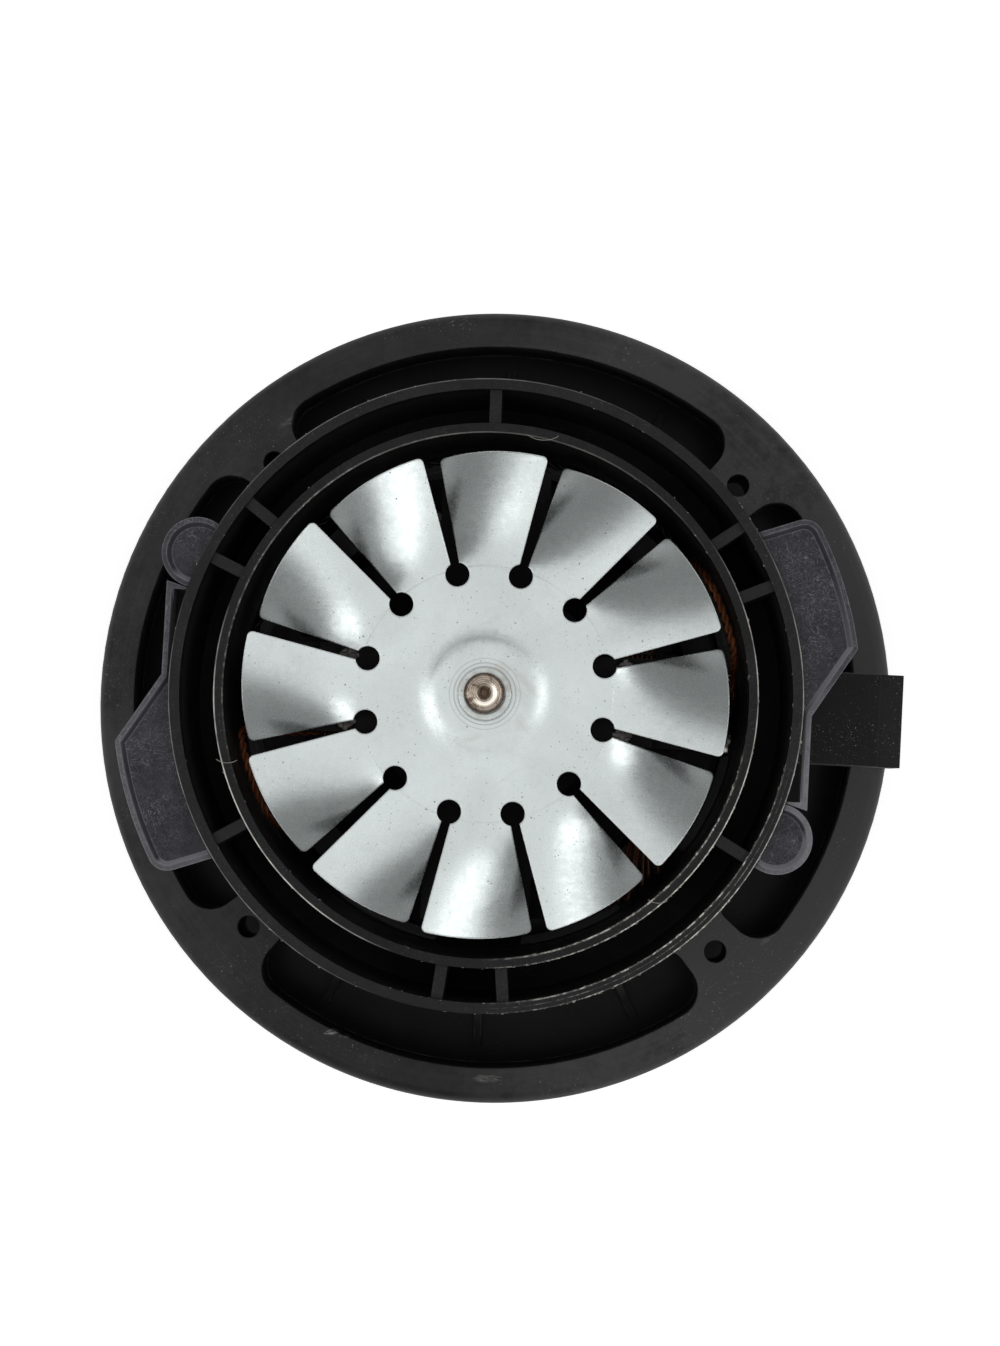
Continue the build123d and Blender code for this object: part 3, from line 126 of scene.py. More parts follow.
class MOTOR_PG_plastics(bpy.types.PropertyGroup):
    """Colours and wear of the moulded parts."""
    flange_colour: colour_of("Flange colour", "Clean moulded plastic of the flange", (0.0055, 0.0055, 0.0057))
    # Also painted light: this haze colour is laid thicker on the flange's lit right side.
    flange_lit_haze: colour_of("Flange haze", "Handled and dusty places of the flange", (0.046, 0.047, 0.046))
    collar_colour: colour_of("Collar colour", "Moulded plastic of the two rings", (0.0085, 0.0085, 0.0094))
    # Also painted light: besides wear, this colour lightens rounded edges, lug rims and the lit side of the
    # lug walls.
    collar_edge_and_highlight: colour_of("Collar edge", "Worn edges of the collar", (0.26, 0.26, 0.28))
    lug_colour: colour_of("Lug colour", "Violet grey plastic of the two lugs", (0.036, 0.036, 0.045))
    connector_colour: colour_of("Connector colour", "Matte plastic of the connector",
                                (0.0085, 0.0078, 0.0078))
    # Also a painted highlight: this colour lightens the rounded flange edges as well as rubs.
    scuff_and_highlight_colour: colour_of("Scuff colour", "Pale rub marks", (0.30, 0.30, 0.28))
    edge_width: length_of("Edge width", "Width of the softened moulded edges", 0.00045)


class MOTOR_PG_metals(bpy.types.PropertyGroup):
    """Colours of the metal parts."""
    fan_colour: colour_of("Fan colour", "Zinc plated sheet of the cooling fan", (0.53, 0.572, 0.566))
    stain_colour: colour_of("Stain colour", "Faint brown stains on the plating", (0.30, 0.22, 0.14))
    shaft_colour: colour_of("Shaft colour", "Turned shaft end", (0.34, 0.29, 0.24))
    shell_colour: colour_of("Shell colour", "Zinc coated sheet of the fan shell", (0.62, 0.64, 0.65))
    alloy_colour: colour_of("Alloy colour", "Die cast bracket", (0.55, 0.56, 0.57))
    copper_colour: colour_of("Copper colour", "Commutator bars", (0.80, 0.42, 0.26))
    brass_colour: colour_of("Brass colour", "Brush tubes and terminals", (0.72, 0.54, 0.25))
    fan_roughness: share_of("Fan roughness", "How matt the fan sheet is", 0.27)


class MOTOR_PG_windings(bpy.types.PropertyGroup):
    """Sizes and colours of the wound parts."""
    enamel_colour: colour_of("Enamel colour", "Varnished copper wire", (0.42, 0.13, 0.035))
    lead_colour: colour_of("Lead colour", "Twisted lead wires", (0.22, 0.066, 0.022))
    paper_colour: colour_of("Liner colour", "Insulating liners", (0.50, 0.45, 0.33))
    coil_wire: length_of("Coil wire radius", "Radius of the field coil wire", 0.00042)
    coil_rows: IntProperty(name="Coil rows", description="Turns across each side of a field coil bundle",
                           default=8, min=2, max=14)
    armature_wire: length_of("Armature wire radius", "Radius of the armature wire", 0.00036)
    lead_strand: length_of("Lead strand radius", "Radius of one strand of a lead", 0.00043)
    lead_pitch: length_of("Lead pitch", "Length of one twist of a lead", 0.0046)


class MOTOR_PG_detail(bpy.types.PropertyGroup):
    """Amount of small detail."""
    flake_count: IntProperty(name="Flakes", description="Bits of moulding flash on each rim",
                             default=150, min=0, max=600)
    flake_size: length_of("Flake size", "Usual length of a bit of flash", 0.0007)
    fibre_radius: length_of("Fibre radius", "Radius of a stray fibre", 0.00006)


class MOTOR_PG_stage(bpy.types.PropertyGroup):
    """Floor, lamps and camera distance."""
    floor_colour: colour_of("Floor colour", "Pale floor", (0.82, 0.82, 0.82))
    key_strength: strength_of("Key strength", "Irradiance of the main soft lamp", 0.78)
    side_strength: strength_of("Side strength", "Irradiance of each side lamp", 0.30)
    zenith_strength: strength_of("Overhead strength", "Brightness of the sky overhead", 0.32, 1.0)
    camera_distance: length_of("Camera distance", "Camera to the collar rim", 0.55)


def settings():
    """The scene's settings, by group."""
    return bpy.context.scene.motor_unit


class MOTOR_PG_unit(bpy.types.PropertyGroup):
    """All settings of the motor unit."""
    plastics: PointerProperty(type=MOTOR_PG_plastics, name="Plastics", description="Moulded parts")
    metals: PointerProperty(type=MOTOR_PG_metals, name="Metals", description="Metal parts")
    windings: PointerProperty(type=MOTOR_PG_windings, name="Windings", description="Wound parts")
    detail: PointerProperty(type=MOTOR_PG_detail, name="Detail", description="Small detail")
    stage: PointerProperty(type=MOTOR_PG_stage, name="Stage", description="Floor and lamps")


class Nodes:
    """A node tree that is built from nothing."""

    def __init__(self, owner):
        owner.use_nodes = True
        self.tree = owner.node_tree
        self.tree.nodes.clear()

    def add(self, kind, given=(), **values):
        """A new node with these settings; given holds its inputs, in order or by key."""
        node = self.tree.nodes.new("ShaderNode" + kind)
        for key, value in values.items():
            setattr(node, key, value)
        for key, source in given.items() if isinstance(given, dict) else enumerate(given):
            self.feed(source, node.inputs[key])
        return node

    def feed(self, source, target):
        """Link a socket, or set a plain value; None leaves the input as it is."""
        if isinstance(source, bpy.types.NodeSocket):
            self.tree.links.new(source, target)
        elif isinstance(source, (int, float)):
            target.default_value = source
        elif source is not None:
            target.default_value = tuple(source)[:3] + (1.0,) if target.type == "RGBA" else tuple(source)

    def blend(self, share, first, second):
        """The first colour where share is nothing, the second where it is one."""
        return self.add("Mix", {0: share, 6: first, 7: second}, data_type="RGBA").outputs[2]

    def parts(self, vector):
        """The three parts of a vector."""
        return self.add("SeparateXYZ", (vector,)).outputs


class Finish(Nodes):
    """A material whose pattern comes from each point's own place on the piece, in metres."""

    def __init__(self, name):
        self.material = bpy.data.materials.new(name)
        super().__init__(self.material)
        self.shader = self.add("BsdfPrincipled")
        self.add("OutputMaterial", (self.shader.outputs["BSDF"],))
        self.place = self.add("TexCoord").outputs["Object"]
        self.x, self.y, self.z = self.parts(self.place)

    def calc(self, operation, first, second=0.0):
        """One step of arithmetic."""
        return self.add("Math", (first, second), operation=operation).outputs[0]

    def plus(self, *values):
        """The sum of these."""
        return reduce(partial(self.calc, "ADD"), values)

    def times(self, *values):
        """The product of these."""
        return reduce(partial(self.calc, "MULTIPLY"), values)

    def capped(self, *values):
        """The sum of these, at most one."""
        return self.calc("MINIMUM", self.plus(*values), 1.0)

    def between(self, value, low, high, to_low=0.0, to_high=1.0):
        """value moved from the range low to high into the other range, and kept in it."""
        return self.add("MapRange", (value, low, high, to_low, to_high), clamp=True).outputs[0]

    def spread(self, noise, to_low=0.0, to_high=1.0):
        """The usual range of a noise, spread over another one."""
        return self.between(noise, 0.3, 0.7, to_low, to_high)

    def level(self, pattern, low, high):
        """low where the pattern is nothing, high where it is one."""
        return self.between(pattern, 0.0, 1.0, low, high)

    def over(self, below, colour, where, share):
        """The colour below, with this share of another one wherever the pattern is one."""
        return self.blend(self.times(where, share), below, colour)

    def scaled(self, scale, turn=(0.0, 0.0, 0.0), place=None):
        """A place, turned and stretched."""
        return self.add("Mapping", {"Vector": place or self.place, "Rotation": turn,
                                    "Scale": scale}).outputs[0]

    def radius(self):
        """Distance from the shaft's axis."""
        return self.calc("SQRT", self.plus(self.times(self.x, self.x), self.times(self.y, self.y)))

    def round_place(self, around=0.08):
        """A place unrolled round the shaft's axis: angle as a length, distance from the axis, height."""
        angle = self.times(self.calc("ARCTAN2", self.y, self.x), around)
        return self.add("CombineXYZ", (angle, self.radius(), self.z)).outputs[0]

    def noise(self, scale, detail=4.0, roughness=0.6, distortion=0.0, place=None):
        return self.add("TexNoise", {"Vector": place or self.place, "Scale": scale, "Detail": detail,
                                     "Roughness": roughness, "Distortion": distortion}).outputs["Fac"]

    def clouds(self, noise, low, high, to_low=0.0, to_high=1.0):
        """Noise of these settings, from the range low to high into the other one."""
        return self.between(self.noise(*noise), low, high, to_low, to_high)

    def grain(self, stretch, detail=3.0, roughness=0.6, turn=(0.0, 0.0, 0.0), place=None):
        """Noise that is stretched by another share each way."""
        return self.noise(1.0, detail, roughness, place=self.scaled(stretch, turn, place))

    def cells(self, scale):
        """A mosaic of cells."""
        return self.add("TexVoronoi", {"Vector": self.place, "Scale": scale}).outputs

    def specks(self, scale, size):
        """Small separate spots; size is their share of the spacing."""
        return self.between(self.cells(scale)["Distance"], size * 0.55, size, 1.0, 0.0)

    def patches(self, scale):
        """A random grey for each cell of a mosaic."""
        return self.add("SeparateColor", (self.cells(scale)["Color"],)).outputs[0]

    def hairlines(self, scale, width, distortion):
        """Thin wandering scratches."""
        away = self.calc("ABSOLUTE", self.plus(self.noise(scale, 1.5, 0.5, distortion), -0.5))
        return self.between(away, width * 0.3, width, 1.0, 0.0)

    def facing(self):
        """The surface's direction."""
        return self.add("NewGeometry").outputs["Normal"]

    def normal_parts(self):
        """The three parts of the surface's direction."""
        return self.parts(self.facing())

    def facing_up(self):
        """One where the surface looks up, nothing where it is upright."""
        return self.between(self.normal_parts()[2], 0.75, 0.98)

    # Finishes use this mask to lighten edges: wear, and a painted highlight along rounded edges.
    def edge_wear_and_highlight(self, width, low=0.02, high=0.22):
        """How much of an edge lies within this width, from the turn of its rounded normal."""
        self.soft_normal = self.add("Bevel", {"Radius": width}, samples=6).outputs[0]
        dot = self.add("VectorMath", (self.soft_normal, self.facing()), operation="DOT_PRODUCT")
        return self.between(self.calc("SUBTRACT", 1.0, dot.outputs["Value"]), low, high)

    def mark(self, x, y, turn, length, width):
        """A soft patch of that length and width, in millimetres, at a place on the plan."""
        spot = self.add("Mapping", {"Vector": self.place, "Location": (x * MM, y * MM, 0.0),
                                    "Rotation": (0.0, 0.0, radians(turn))}, vector_type="TEXTURE")
        near = self.scaled((1 / (length * MM), 1 / (width * MM), 1.0), place=spot.outputs[0])
        u, v, _ = self.parts(near)
        return self.between(self.plus(self.times(u, u), self.times(v, v)), 0.05, 0.30, 1.0, 0.0)

    def towards(self, angle, wide, full):
        """One within full degrees of that direction from the axis, nothing beyond wide degrees."""
        turn = radians(angle)
        along = self.plus(self.times(self.x, cos(turn)), self.times(self.y, sin(turn)))
        share = self.calc("DIVIDE", along, self.calc("MAXIMUM", self.radius(), 0.001))
        return self.between(share, cos(radians(wide)), cos(radians(full)))

    def ring_line(self, radius, width):
        """A thin circle round the axis."""
        off = self.calc("ABSOLUTE", self.plus(self.radius(), -radius))
        return self.between(off, width * 0.4, width, 1.0, 0.0)

    def painted_top_shade(self, base, share=0.88):
        """The colour, blackened on the upper end that faces the commutator: painted shade."""
        near = self.times(self.between(self.z, *PAINTED_SHADE_LINE), share)
        return self.blend(self.times(near, self.clouds((210, 4), 0.25, 0.55, 0.8, 1.0)), base,
                          (0.0040, 0.0038, 0.0038))

    def bump(self, height, depth, normal=None):
        """A surface direction, tilted by this relief."""
        return self.add("Bump", {"Strength": 1.0, "Distance": depth, "Height": height,
                                 "Normal": normal}).outputs[0]

    def coat(self, colour, roughness, metallic=0.0, normal=None, **fixed):
        """Set the shader and return the material."""
        given = {"Base Color": colour, "Roughness": roughness, "Metallic": metallic, "Normal": normal}
        for key, source in (given | fixed).items():
            self.feed(source, self.shader.inputs[key.replace("_", " ")])
        return self.material


def show(thing):
    """Put an object into the scene."""
    bpy.context.scene.collection.objects.link(thing)
    return thing


def as_mesh(shape, name):
    """A mesh of what was modelled in a bmesh."""
    mesh = bpy.data.meshes.new(name)
    shape.to_mesh(mesh)
    shape.free()
    return mesh


def paint(material, *nodes):
    """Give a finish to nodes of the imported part."""
    for name in nodes:
        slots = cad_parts[name].data.materials
        slots.clear()
        slots.append(material)


def scuffed_flange_plastic():
    """Black moulded plastic with a dusty film, ring marks and pale rubs; the film is painted thicker on the
    lit right side as painted light and left thin in the pockets as painted shade, and the rounded edges carry
    a painted highlight.
    """
    look = settings().plastics
    f = Finish("flange_plastic")
    unrolled = f.round_place()
    mottle = f.plus(f.times(f.clouds((55, 6, 0.62, 0.8), 0.38, 0.66), 0.5),
                    f.times(f.clouds((22, 3, 0.5, 0.5), 0.36, 0.64), 0.8))
    fine = f.clouds((420, 5, 0.7), 0.35, 0.75)
    raised = f.between(f.z, 0.0335, 0.0396)
    rings = f.between(f.grain((25, 900, 900), 3, 0.6, place=unrolled), 0.45, 0.8)
    lit_side = f.plus(0.46, f.times(f.towards(0, 95, 25), 1.40), f.times(f.towards(180, 50, 15), 0.45))
    smudges = f.plus(f.mark(-50.0, 64.0, 42, 16.0, 7.0), f.mark(62.0, -52.0, 50, 20.0, 7.0),
                     f.mark(28.0, 78.0, -20, 20.0, 5.0))
    smudge = f.times(smudges, f.clouds((240, 5, 0.7, 1.0), 0.35, 0.65), 0.55)
    # Painted light and shade: the film is laid mostly on raised faces, more towards the right, and hardly in
    # the pockets.
    lit_haze = f.times(f.plus(f.times(mottle, 0.85), f.times(fine, 0.40), f.times(rings, 0.30), smudge),
                   f.plus(0.04, f.times(raised, lit_side)))
    base = f.blend(lit_haze, look.flange_colour, look.flange_lit_haze)
    rubs = [(-32.5, -76.5, 22, 5.5, 1.5), (-29.0, -77.6, 8, 3.0, 0.8), (46.0, 62.0, -40, 6.0, 2.0),
            (-64.0, 48.0, 50, 7.0, 2.4), (12.0, 81.5, -6, 9.0, 2.2), (66.0, -49.0, 55, 6.0, 2.0),
            (-50.0, 64.0, 35, 8.0, 1.6), (3.0, -85.5, 4, 7.0, 2.0)]
    rub = f.mark(*rubs[0])
    for one in rubs[1:]:
        weight = 1.0 if one[0] < -20 and one[1] < -70 else 0.4
        rub = f.calc("MAXIMUM", rub, f.times(f.mark(*one), weight))
    streaks = f.noise(900, 3, 0.7, place=f.scaled((0.4, 2.5, 1.0), (0, 0, 0.5)))
    rub = f.times(rub, f.between(streaks, 0.42, 0.62), raised)
    scratch = f.times(f.hairlines(70, 0.004, 3.5), f.clouds((30,), 0.50, 0.64), 0.16)
    dust = f.times(f.plus(f.specks(700, 0.13), f.specks(1500, 0.15)), f.clouds((60,), 0.46, 0.64), 0.5)
    # Lighter edges: wear, and a painted highlight along the rounded edges.
    edge = f.times(f.edge_wear_and_highlight(look.edge_width), f.clouds((260, 3), 0.38, 0.7), 0.16)
    pale = f.capped(rub, f.times(scratch, raised), f.times(dust, f.plus(0.15, raised)), edge)
    colour = f.blend(pale, base, look.scuff_and_highlight_colour)
    grain = f.plus(f.times(f.noise(1600, 3), 0.5), f.times(fine, 0.5))
    rough = f.plus(f.level(mottle, 0.44, 0.58), f.times(pale, 0.15))
    return f.coat(colour, rough, normal=f.bump(grain, 0.00003, f.soft_normal), Specular_IOR_Level=0.18)


def collar_plastic(name, gloss, steady_highlights, beaded_highlights):
    """Black plastic with thin painted highlights along its rim edges, some unbroken and some in beads; lugs
    are violet and swirled, with painted light on their sloping walls and a painted highlight on their rims.
    """
    look = settings().plastics
    f = Finish(name)
    lug = f.between(f.radius(), 0.0643, 0.0649)
    tone = f.clouds((90, 5, 0.6, 0.6), 0.35, 0.7)
    cloud = f.clouds((160, 6, 0.7, 1.5), 0.35, 0.65)
    base = f.blend(tone, shade(look.collar_colour, 0.6), shade(look.collar_colour, 1.5))
    # Painted light: the channel walls below the rim are given a lighter grey.
    base = f.blend(f.between(f.z, 0.1150, 0.1188), (0.030, 0.028, 0.028), base)
    violet = f.blend(cloud, shade(look.lug_colour, 0.50), shade(look.lug_colour, 1.15))
    base = f.blend(f.times(lug, f.between(f.z, 0.110, 0.1145, 0.15, 1.0)), base, violet)
    scratches = f.plus(f.hairlines(150, 0.012, 5.0), f.hairlines(360, 0.013, 3.5),
                       f.hairlines(760, 0.016, 2.0))
    swirl = f.times(scratches, f.clouds((60,), 0.34, 0.56), f.plus(0.06, f.times(lug, 0.34)))
    dust = f.times(f.specks(1100, 0.13), f.clouds((80,), 0.47, 0.62), 0.40)
    lean = f.normal_parts()
    # Painted light on the lugs' sloping walls, on the side that faces the light.
    sloped = f.times(f.between(lean[2], 0.15, 0.3), f.between(lean[2], 0.8, 0.95, 1.0, 0.0), lug)
    lit = f.between(f.plus(f.times(lean[0], -0.50), f.times(lean[1], 0.87)), 0.10, 0.45, 0.12, 0.95)
    # Painted highlight on the lug rims, strongest near the necks.
    neck = f.plus(f.times(f.towards(-14, 20, 8), 0.55), f.times(f.towards(205, 45, 15), 0.22), 0.08)
    top = f.between(f.z, LUG_TOP - 0.0004, LUG_TOP)
    rim = f.times(lug, top, f.clouds((300, 4), 0.25, 0.6, 0.6, 1.0), neck)
    edge_band = f.edge_wear_and_highlight(look.edge_width, 0.015, 0.12)
    # Lighter broken edges: wear, and a painted highlight along the rounded edges.
    broken = f.times(edge_band, f.clouds((700, 4, 0.7), 0.30, 0.72, 0.25, 1.0), f.plus(0.10, f.times(lug, 0.9)))
    # pale holds scratches and dust, together with painted light and highlights.
    pale = f.capped(f.times(swirl, f.facing_up()), dust, broken, f.times(sloped, lit), rim)
    colour = f.blend(pale, base, look.collar_edge_and_highlight)
    runs = f.clouds((190, 3), 0.30, 0.62, 0.25, 1.0)
    beads = f.clouds((640, 5, 0.8), 0.48, 0.60, 0.10, 1.0)
    # Painted highlights: thin light lines on the rim edges, each towards its own direction.
    bright = 0.0
    for lines, pattern in ((steady_highlights, runs), (beaded_highlights, beads)):
        for radius, width, angle, wide, full, weight in lines:
            line = f.times(f.ring_line(radius, width), f.towards(angle, wide, full), pattern, weight)
            bright = f.plus(bright, line)
    top = f.between(f.z, COLLAR_TOP - 0.0012, COLLAR_TOP - 0.0006)
    bright = f.capped(f.times(bright, top))
    colour = f.blend(bright, colour, (0.80, 0.78, 0.72))
    rings = f.grain((30, 1500, 1500), 2, place=f.round_place())
    grain = f.plus(f.times(f.noise(1900, 3), 0.5), f.times(rings, 0.5))
    rough = f.plus(f.level(tone, 0.34, 0.48), f.times(pale, 0.2))
    return f.coat(colour, rough, normal=f.bump(grain, 0.00002, f.soft_normal), Specular_IOR_Level=gloss)


def shaded_housing_plastic():
    """Deep black plastic of the housing: the flange colour painted darker as shade, dull, with a little dust
    on its ledges.
    """
    look = settings().plastics
    f = Finish("housing_plastic")
    tone = f.clouds((70, 5, 0.6, 0.5), 0.35, 0.7)
    # Painted shade: a darker copy of the flange colour.
    base = f.blend(tone, shade(look.flange_colour, 0.55), shade(look.flange_colour, 0.95))
    dust = f.times(f.specks(900, 0.12), f.clouds((75,), 0.50, 0.66), f.facing_up(), 0.4)
    edge = f.times(f.edge_wear_and_highlight(look.edge_width), f.clouds((300, 3), 0.4, 0.7), 0.15)
    colour = f.blend(f.plus(dust, edge), base, look.scuff_and_highlight_colour)
    return f.coat(colour, f.level(tone, 0.62, 0.78),
                  normal=f.bump(f.noise(1500, 4, 0.65), 0.00004, f.soft_normal), Specular_IOR_Level=0.20)


def dusty_connector_plastic():
    """Matte black with white dust and a lighter outer strip."""
    look = settings().plastics
    f = Finish("connector_plastic")
    tone = f.noise(140, 5, 0.65)
    base = f.blend(f.between(tone, 0.35, 0.7), look.connector_colour, (0.013, 0.012, 0.012))
    tip = f.times(f.between(f.x, *CONNECTOR_TIP), 0.5)
    base = f.blend(tip, base, (0.018, 0.017, 0.017))
    dust = f.times(f.plus(f.specks(760, 0.10), f.specks(1500, 0.13), f.times(f.specks(2600, 0.2), 0.4)),
                   f.clouds((110,), 0.40, 0.58))
    edge = f.times(f.edge_wear_and_highlight(look.edge_width), 0.06)
    colour = f.blend(f.capped(f.times(dust, 0.75), edge), base, (0.34, 0.34, 0.33))
    return f.coat(colour, f.spread(tone, 0.55, 0.72),
                  normal=f.bump(f.noise(2200, 4, 0.7), 0.00005, f.soft_normal), Specular_IOR_Level=0.16)


def zinc_plated_sheet():
    """Light blue grey plating with fine specks, faint stains, rolled grain, bright sheared edges and a
    painted highlight along its rounded edges.
    """
    look = settings().metals
    f = Finish("zinc_plated_sheet")
    cloud = f.clouds((38, 5, 0.6, 1.0), 0.32, 0.7)
    fine = f.noise(750, 4, 0.65)
    rolled = f.grain((90, 1800, 900), 3, 0.6, turn=(0, 0, 0.45))
    base = f.blend(cloud, shade(look.fan_colour, 0.90), shade(look.fan_colour, 1.06))
    base = f.blend(f.spread(fine, 0.0, 0.10), base, (0.35, 0.37, 0.38))
    far = f.radius()
    hub_stain = f.times(f.between(far, 0.0042, 0.0062, 1.0, 0.0), f.clouds((420, 5, 0.7), 0.42, 0.62), 0.35)
    pressed = f.plus(f.ring_line(0.0062, 0.00016), f.times(f.ring_line(0.0071, 0.00014), 0.6))
    base = f.over(base, (0.12, 0.12, 0.12), pressed, 0.45)
    inward = f.between(far, 0.012, 0.03, 1.0, 0.25)
    wide_stain = f.times(f.clouds((70, 4, 0.6, 1.5), 0.60, 0.74), inward, 0.22)
    stain = f.capped(hub_stain, wide_stain)
    base = f.blend(stain, base, look.stain_colour)
    spots = f.plus(f.times(f.specks(400, 0.085), f.clouds((55,), 0.45, 0.55)),
                   f.times(f.specks(760, 0.10), f.clouds((90,), 0.42, 0.54)),
                   f.times(f.specks(1100, 0.15), f.clouds((120,), 0.50, 0.62), 0.7))
    base = f.blend(f.capped(f.times(spots, 0.8)), base, (0.10, 0.085, 0.07))
    # Painted highlight: a bright line along the rounded edges of the sheet.
    edge_highlight = f.edge_wear_and_highlight(0.00045, 0.07, 0.20)
    base = f.over(base, (0.90, 0.92, 0.92), edge_highlight, 0.8)
    sheared = f.between(f.calc("ABSOLUTE", f.normal_parts()[2]), 0.30, 0.55, 1.0, 0.0)
    base = f.blend(sheared, base, (0.88, 0.90, 0.90))
    rough = f.plus(f.between(fine, 0.3, 0.7, look.fan_roughness - 0.03, look.fan_roughness + 0.04),
                   f.times(stain, 0.25), f.times(spots, 0.2))
    plain = f.capped(stain, spots, sheared)
    metal = f.calc("SUBTRACT", 0.94, f.times(plain, 0.7))
    grain = f.plus(f.times(rolled, 0.5), f.times(fine, 0.5), f.times(spots, -0.08))
    return f.coat(base, rough, metal, f.bump(grain, 0.000012, f.soft_normal))


def turned_shaft_steel():
    """Nickel brown turned steel, with tool rings on its end, tarnish and a painted highlight on one side of
    the end.
    """
    look = settings().metals
    f = Finish("turned_shaft_steel")
    rings = f.calc("SINE", f.times(f.radius(), 15000))
    wander = f.noise(900, 4, 0.7)
    tarnish = f.clouds((520, 5, 0.7, 1.0), 0.44, 0.62)
    base = f.blend(f.times(tarnish, 0.85), look.shaft_colour, (0.085, 0.050, 0.030))
    base = f.blend(f.between(rings, 0.2, 1.0, 0.0, 0.6), base, (0.06, 0.045, 0.035))
    # Painted highlight: a bright curved band on one side of the shaft end.
    crescent = f.times(f.ring_line(0.0022, 0.00055), f.towards(-45, 110, 70))
    base = f.blend(crescent, base, (0.85, 0.80, 0.70))
    base = f.over(base, (0.05, 0.035, 0.03), f.ring_line(0.00375, 0.0004), 0.7)
    lathe = f.grain((20, 60, 5000), 2, place=f.round_place())
    grain = f.plus(f.times(rings, 0.35), f.times(wander, 0.3), f.times(lathe, 0.4))
    return f.coat(base, f.level(tarnish, 0.20, 0.46), 1.0, f.bump(grain, 0.00004))


def spangled_shell_steel():
    """Hot dip zinc coating with a mosaic of crystals and drawing marks."""
    look = settings().metals
    f = Finish("spangled_shell_steel")
    spangle = f.patches(150)
    drawn = f.grain((60, 60, 1400), 3, 0.6, place=f.round_place())
    grime = f.clouds((48, 6, 0.65, 0.5), 0.52, 0.78)
    base = f.blend(spangle, shade(look.shell_colour, 0.78), look.shell_colour)
    base = f.over(base, (0.20, 0.18, 0.15), grime, 0.5)
    scratch = f.hairlines(90, 0.004, 2.0)
    base = f.over(base, (0.80, 0.82, 0.83), scratch, 0.5)
    rough = f.plus(f.level(spangle, 0.26, 0.42), f.times(grime, 0.25))
    grain = f.plus(f.times(drawn, 0.6), f.times(spangle, 0.12), f.times(scratch, -0.3))
    return f.coat(base, rough, 0.95, f.bump(grain, 0.00002))


def die_cast_alloy():
    """Grainy cast alloy, darker in its lows, with polished edges; the upward faces at its top are painted
    near black as shade.
    """
    look = settings().metals
    f = Finish("die_cast_alloy")
    grain = f.noise(1300, 5, 0.7)
    flow = f.clouds((60, 4, 0.6, 2.0), 0.35, 0.7)
    base = f.blend(flow, shade(look.alloy_colour, 0.8), look.alloy_colour)
    base = f.blend(f.between(grain, 0.55, 0.75, 0.0, 0.5), base, (0.26, 0.26, 0.26))
    edge = f.edge_wear_and_highlight(0.0004)
    base = f.over(base, (0.80, 0.81, 0.82), edge, 0.5)
    # Painted shade: the upward faces at the top are made near black and not metallic; the mask is named dust.
    dust = f.times(f.facing_up(), f.between(f.z, 0.0240, 0.0249), f.clouds((140, 4), 0.2, 0.5, 0.93, 0.99))
    base = f.blend(dust, base, (0.007, 0.0066, 0.0062))
    rough = f.plus(f.spread(grain, 0.42, 0.62), f.times(dust, 0.3))
    metal = f.between(dust, 0.0, 0.9, 0.9, 0.0)
    return f.coat(base, rough, metal, f.bump(grain, 0.00005, f.soft_normal), Specular_IOR_Level=0.2)


def rolled_impeller_alloy():
    """Bright rolled sheet with fine parallel lines and dust near the eye."""
    f = Finish("rolled_impeller_alloy")
    lines = f.grain((60, 2600, 900), 4, 0.65, turn=(0, 0, 0.3))
    dust = f.clouds((70, 5, 0.65, 0.6), 0.48, 0.75)
    base = f.blend(f.spread(lines), (0.70, 0.71, 0.72), (0.82, 0.83, 0.84))
    base = f.over(base, (0.30, 0.27, 0.23), dust, 0.35)
    return f.coat(base, f.plus(f.spread(lines, 0.24, 0.36), f.times(dust, 0.25)), 0.96,
                  f.bump(lines, 0.000012))


def polished_bearing_steel():
    """Ground and polished bearing steel with grinding lines round its axis."""
    f = Finish("bearing_steel")
    ground = f.grain((12, 4000, 4000), 2, place=f.round_place(0.02))
    oil = f.clouds((260, 3, 0.6, 0.5), 0.45, 0.7)
    base = f.blend(f.times(oil, 0.4), (0.72, 0.73, 0.74), (0.42, 0.38, 0.30))
    return f.coat(base, f.plus(f.spread(ground, 0.12, 0.24), f.times(oil, 0.08)), 1.0,
                  f.bump(ground, 0.000008))


def plated_screw_steel(name, bright, dark):
    """Plated steel with dull recesses and rubbed edges."""
    f = Finish(name)
    dull = f.clouds((800, 5, 0.7), 0.38, 0.68)
    base = f.blend(dull, bright, dark)
    edge = f.edge_wear_and_highlight(0.0002)
    base = f.over(base, shade(bright, 1.25), edge, 0.6)
    grain = f.bump(f.noise(2500, 3), 0.00001, f.soft_normal)
    return f.coat(base, f.level(dull, 0.30, 0.48), 0.95, grain)


def stacked_lamination():
    """The stacked edges of stamped sheets, with thin rust and varnish runs."""
    f = Finish("stacked_lamination")
    sheets = f.calc("SINE", f.times(f.z, 12566))
    uneven = f.grain((120, 120, 2000), 2)
    rust = f.clouds((160, 5, 0.7, 1.2), 0.50, 0.68)
    base = f.blend(f.spread(uneven), (0.035, 0.036, 0.040), (0.085, 0.088, 0.095))
    base = f.over(base, (0.070, 0.028, 0.012), rust, 0.55)
    base = f.blend(f.between(sheets, -1.0, -0.4, 0.6, 0.0), base, (0.012, 0.012, 0.012))
    # Painted shade: the upper end of the stack is blackened.
    base = f.painted_top_shade(base, 0.95)
    grain = f.plus(f.times(sheets, 0.35), f.times(uneven, 0.5))
    rough = f.level(rust, 0.62, 0.78)
    return f.coat(base, rough, normal=f.bump(grain, 0.00006), Specular_IOR_Level=0.12)


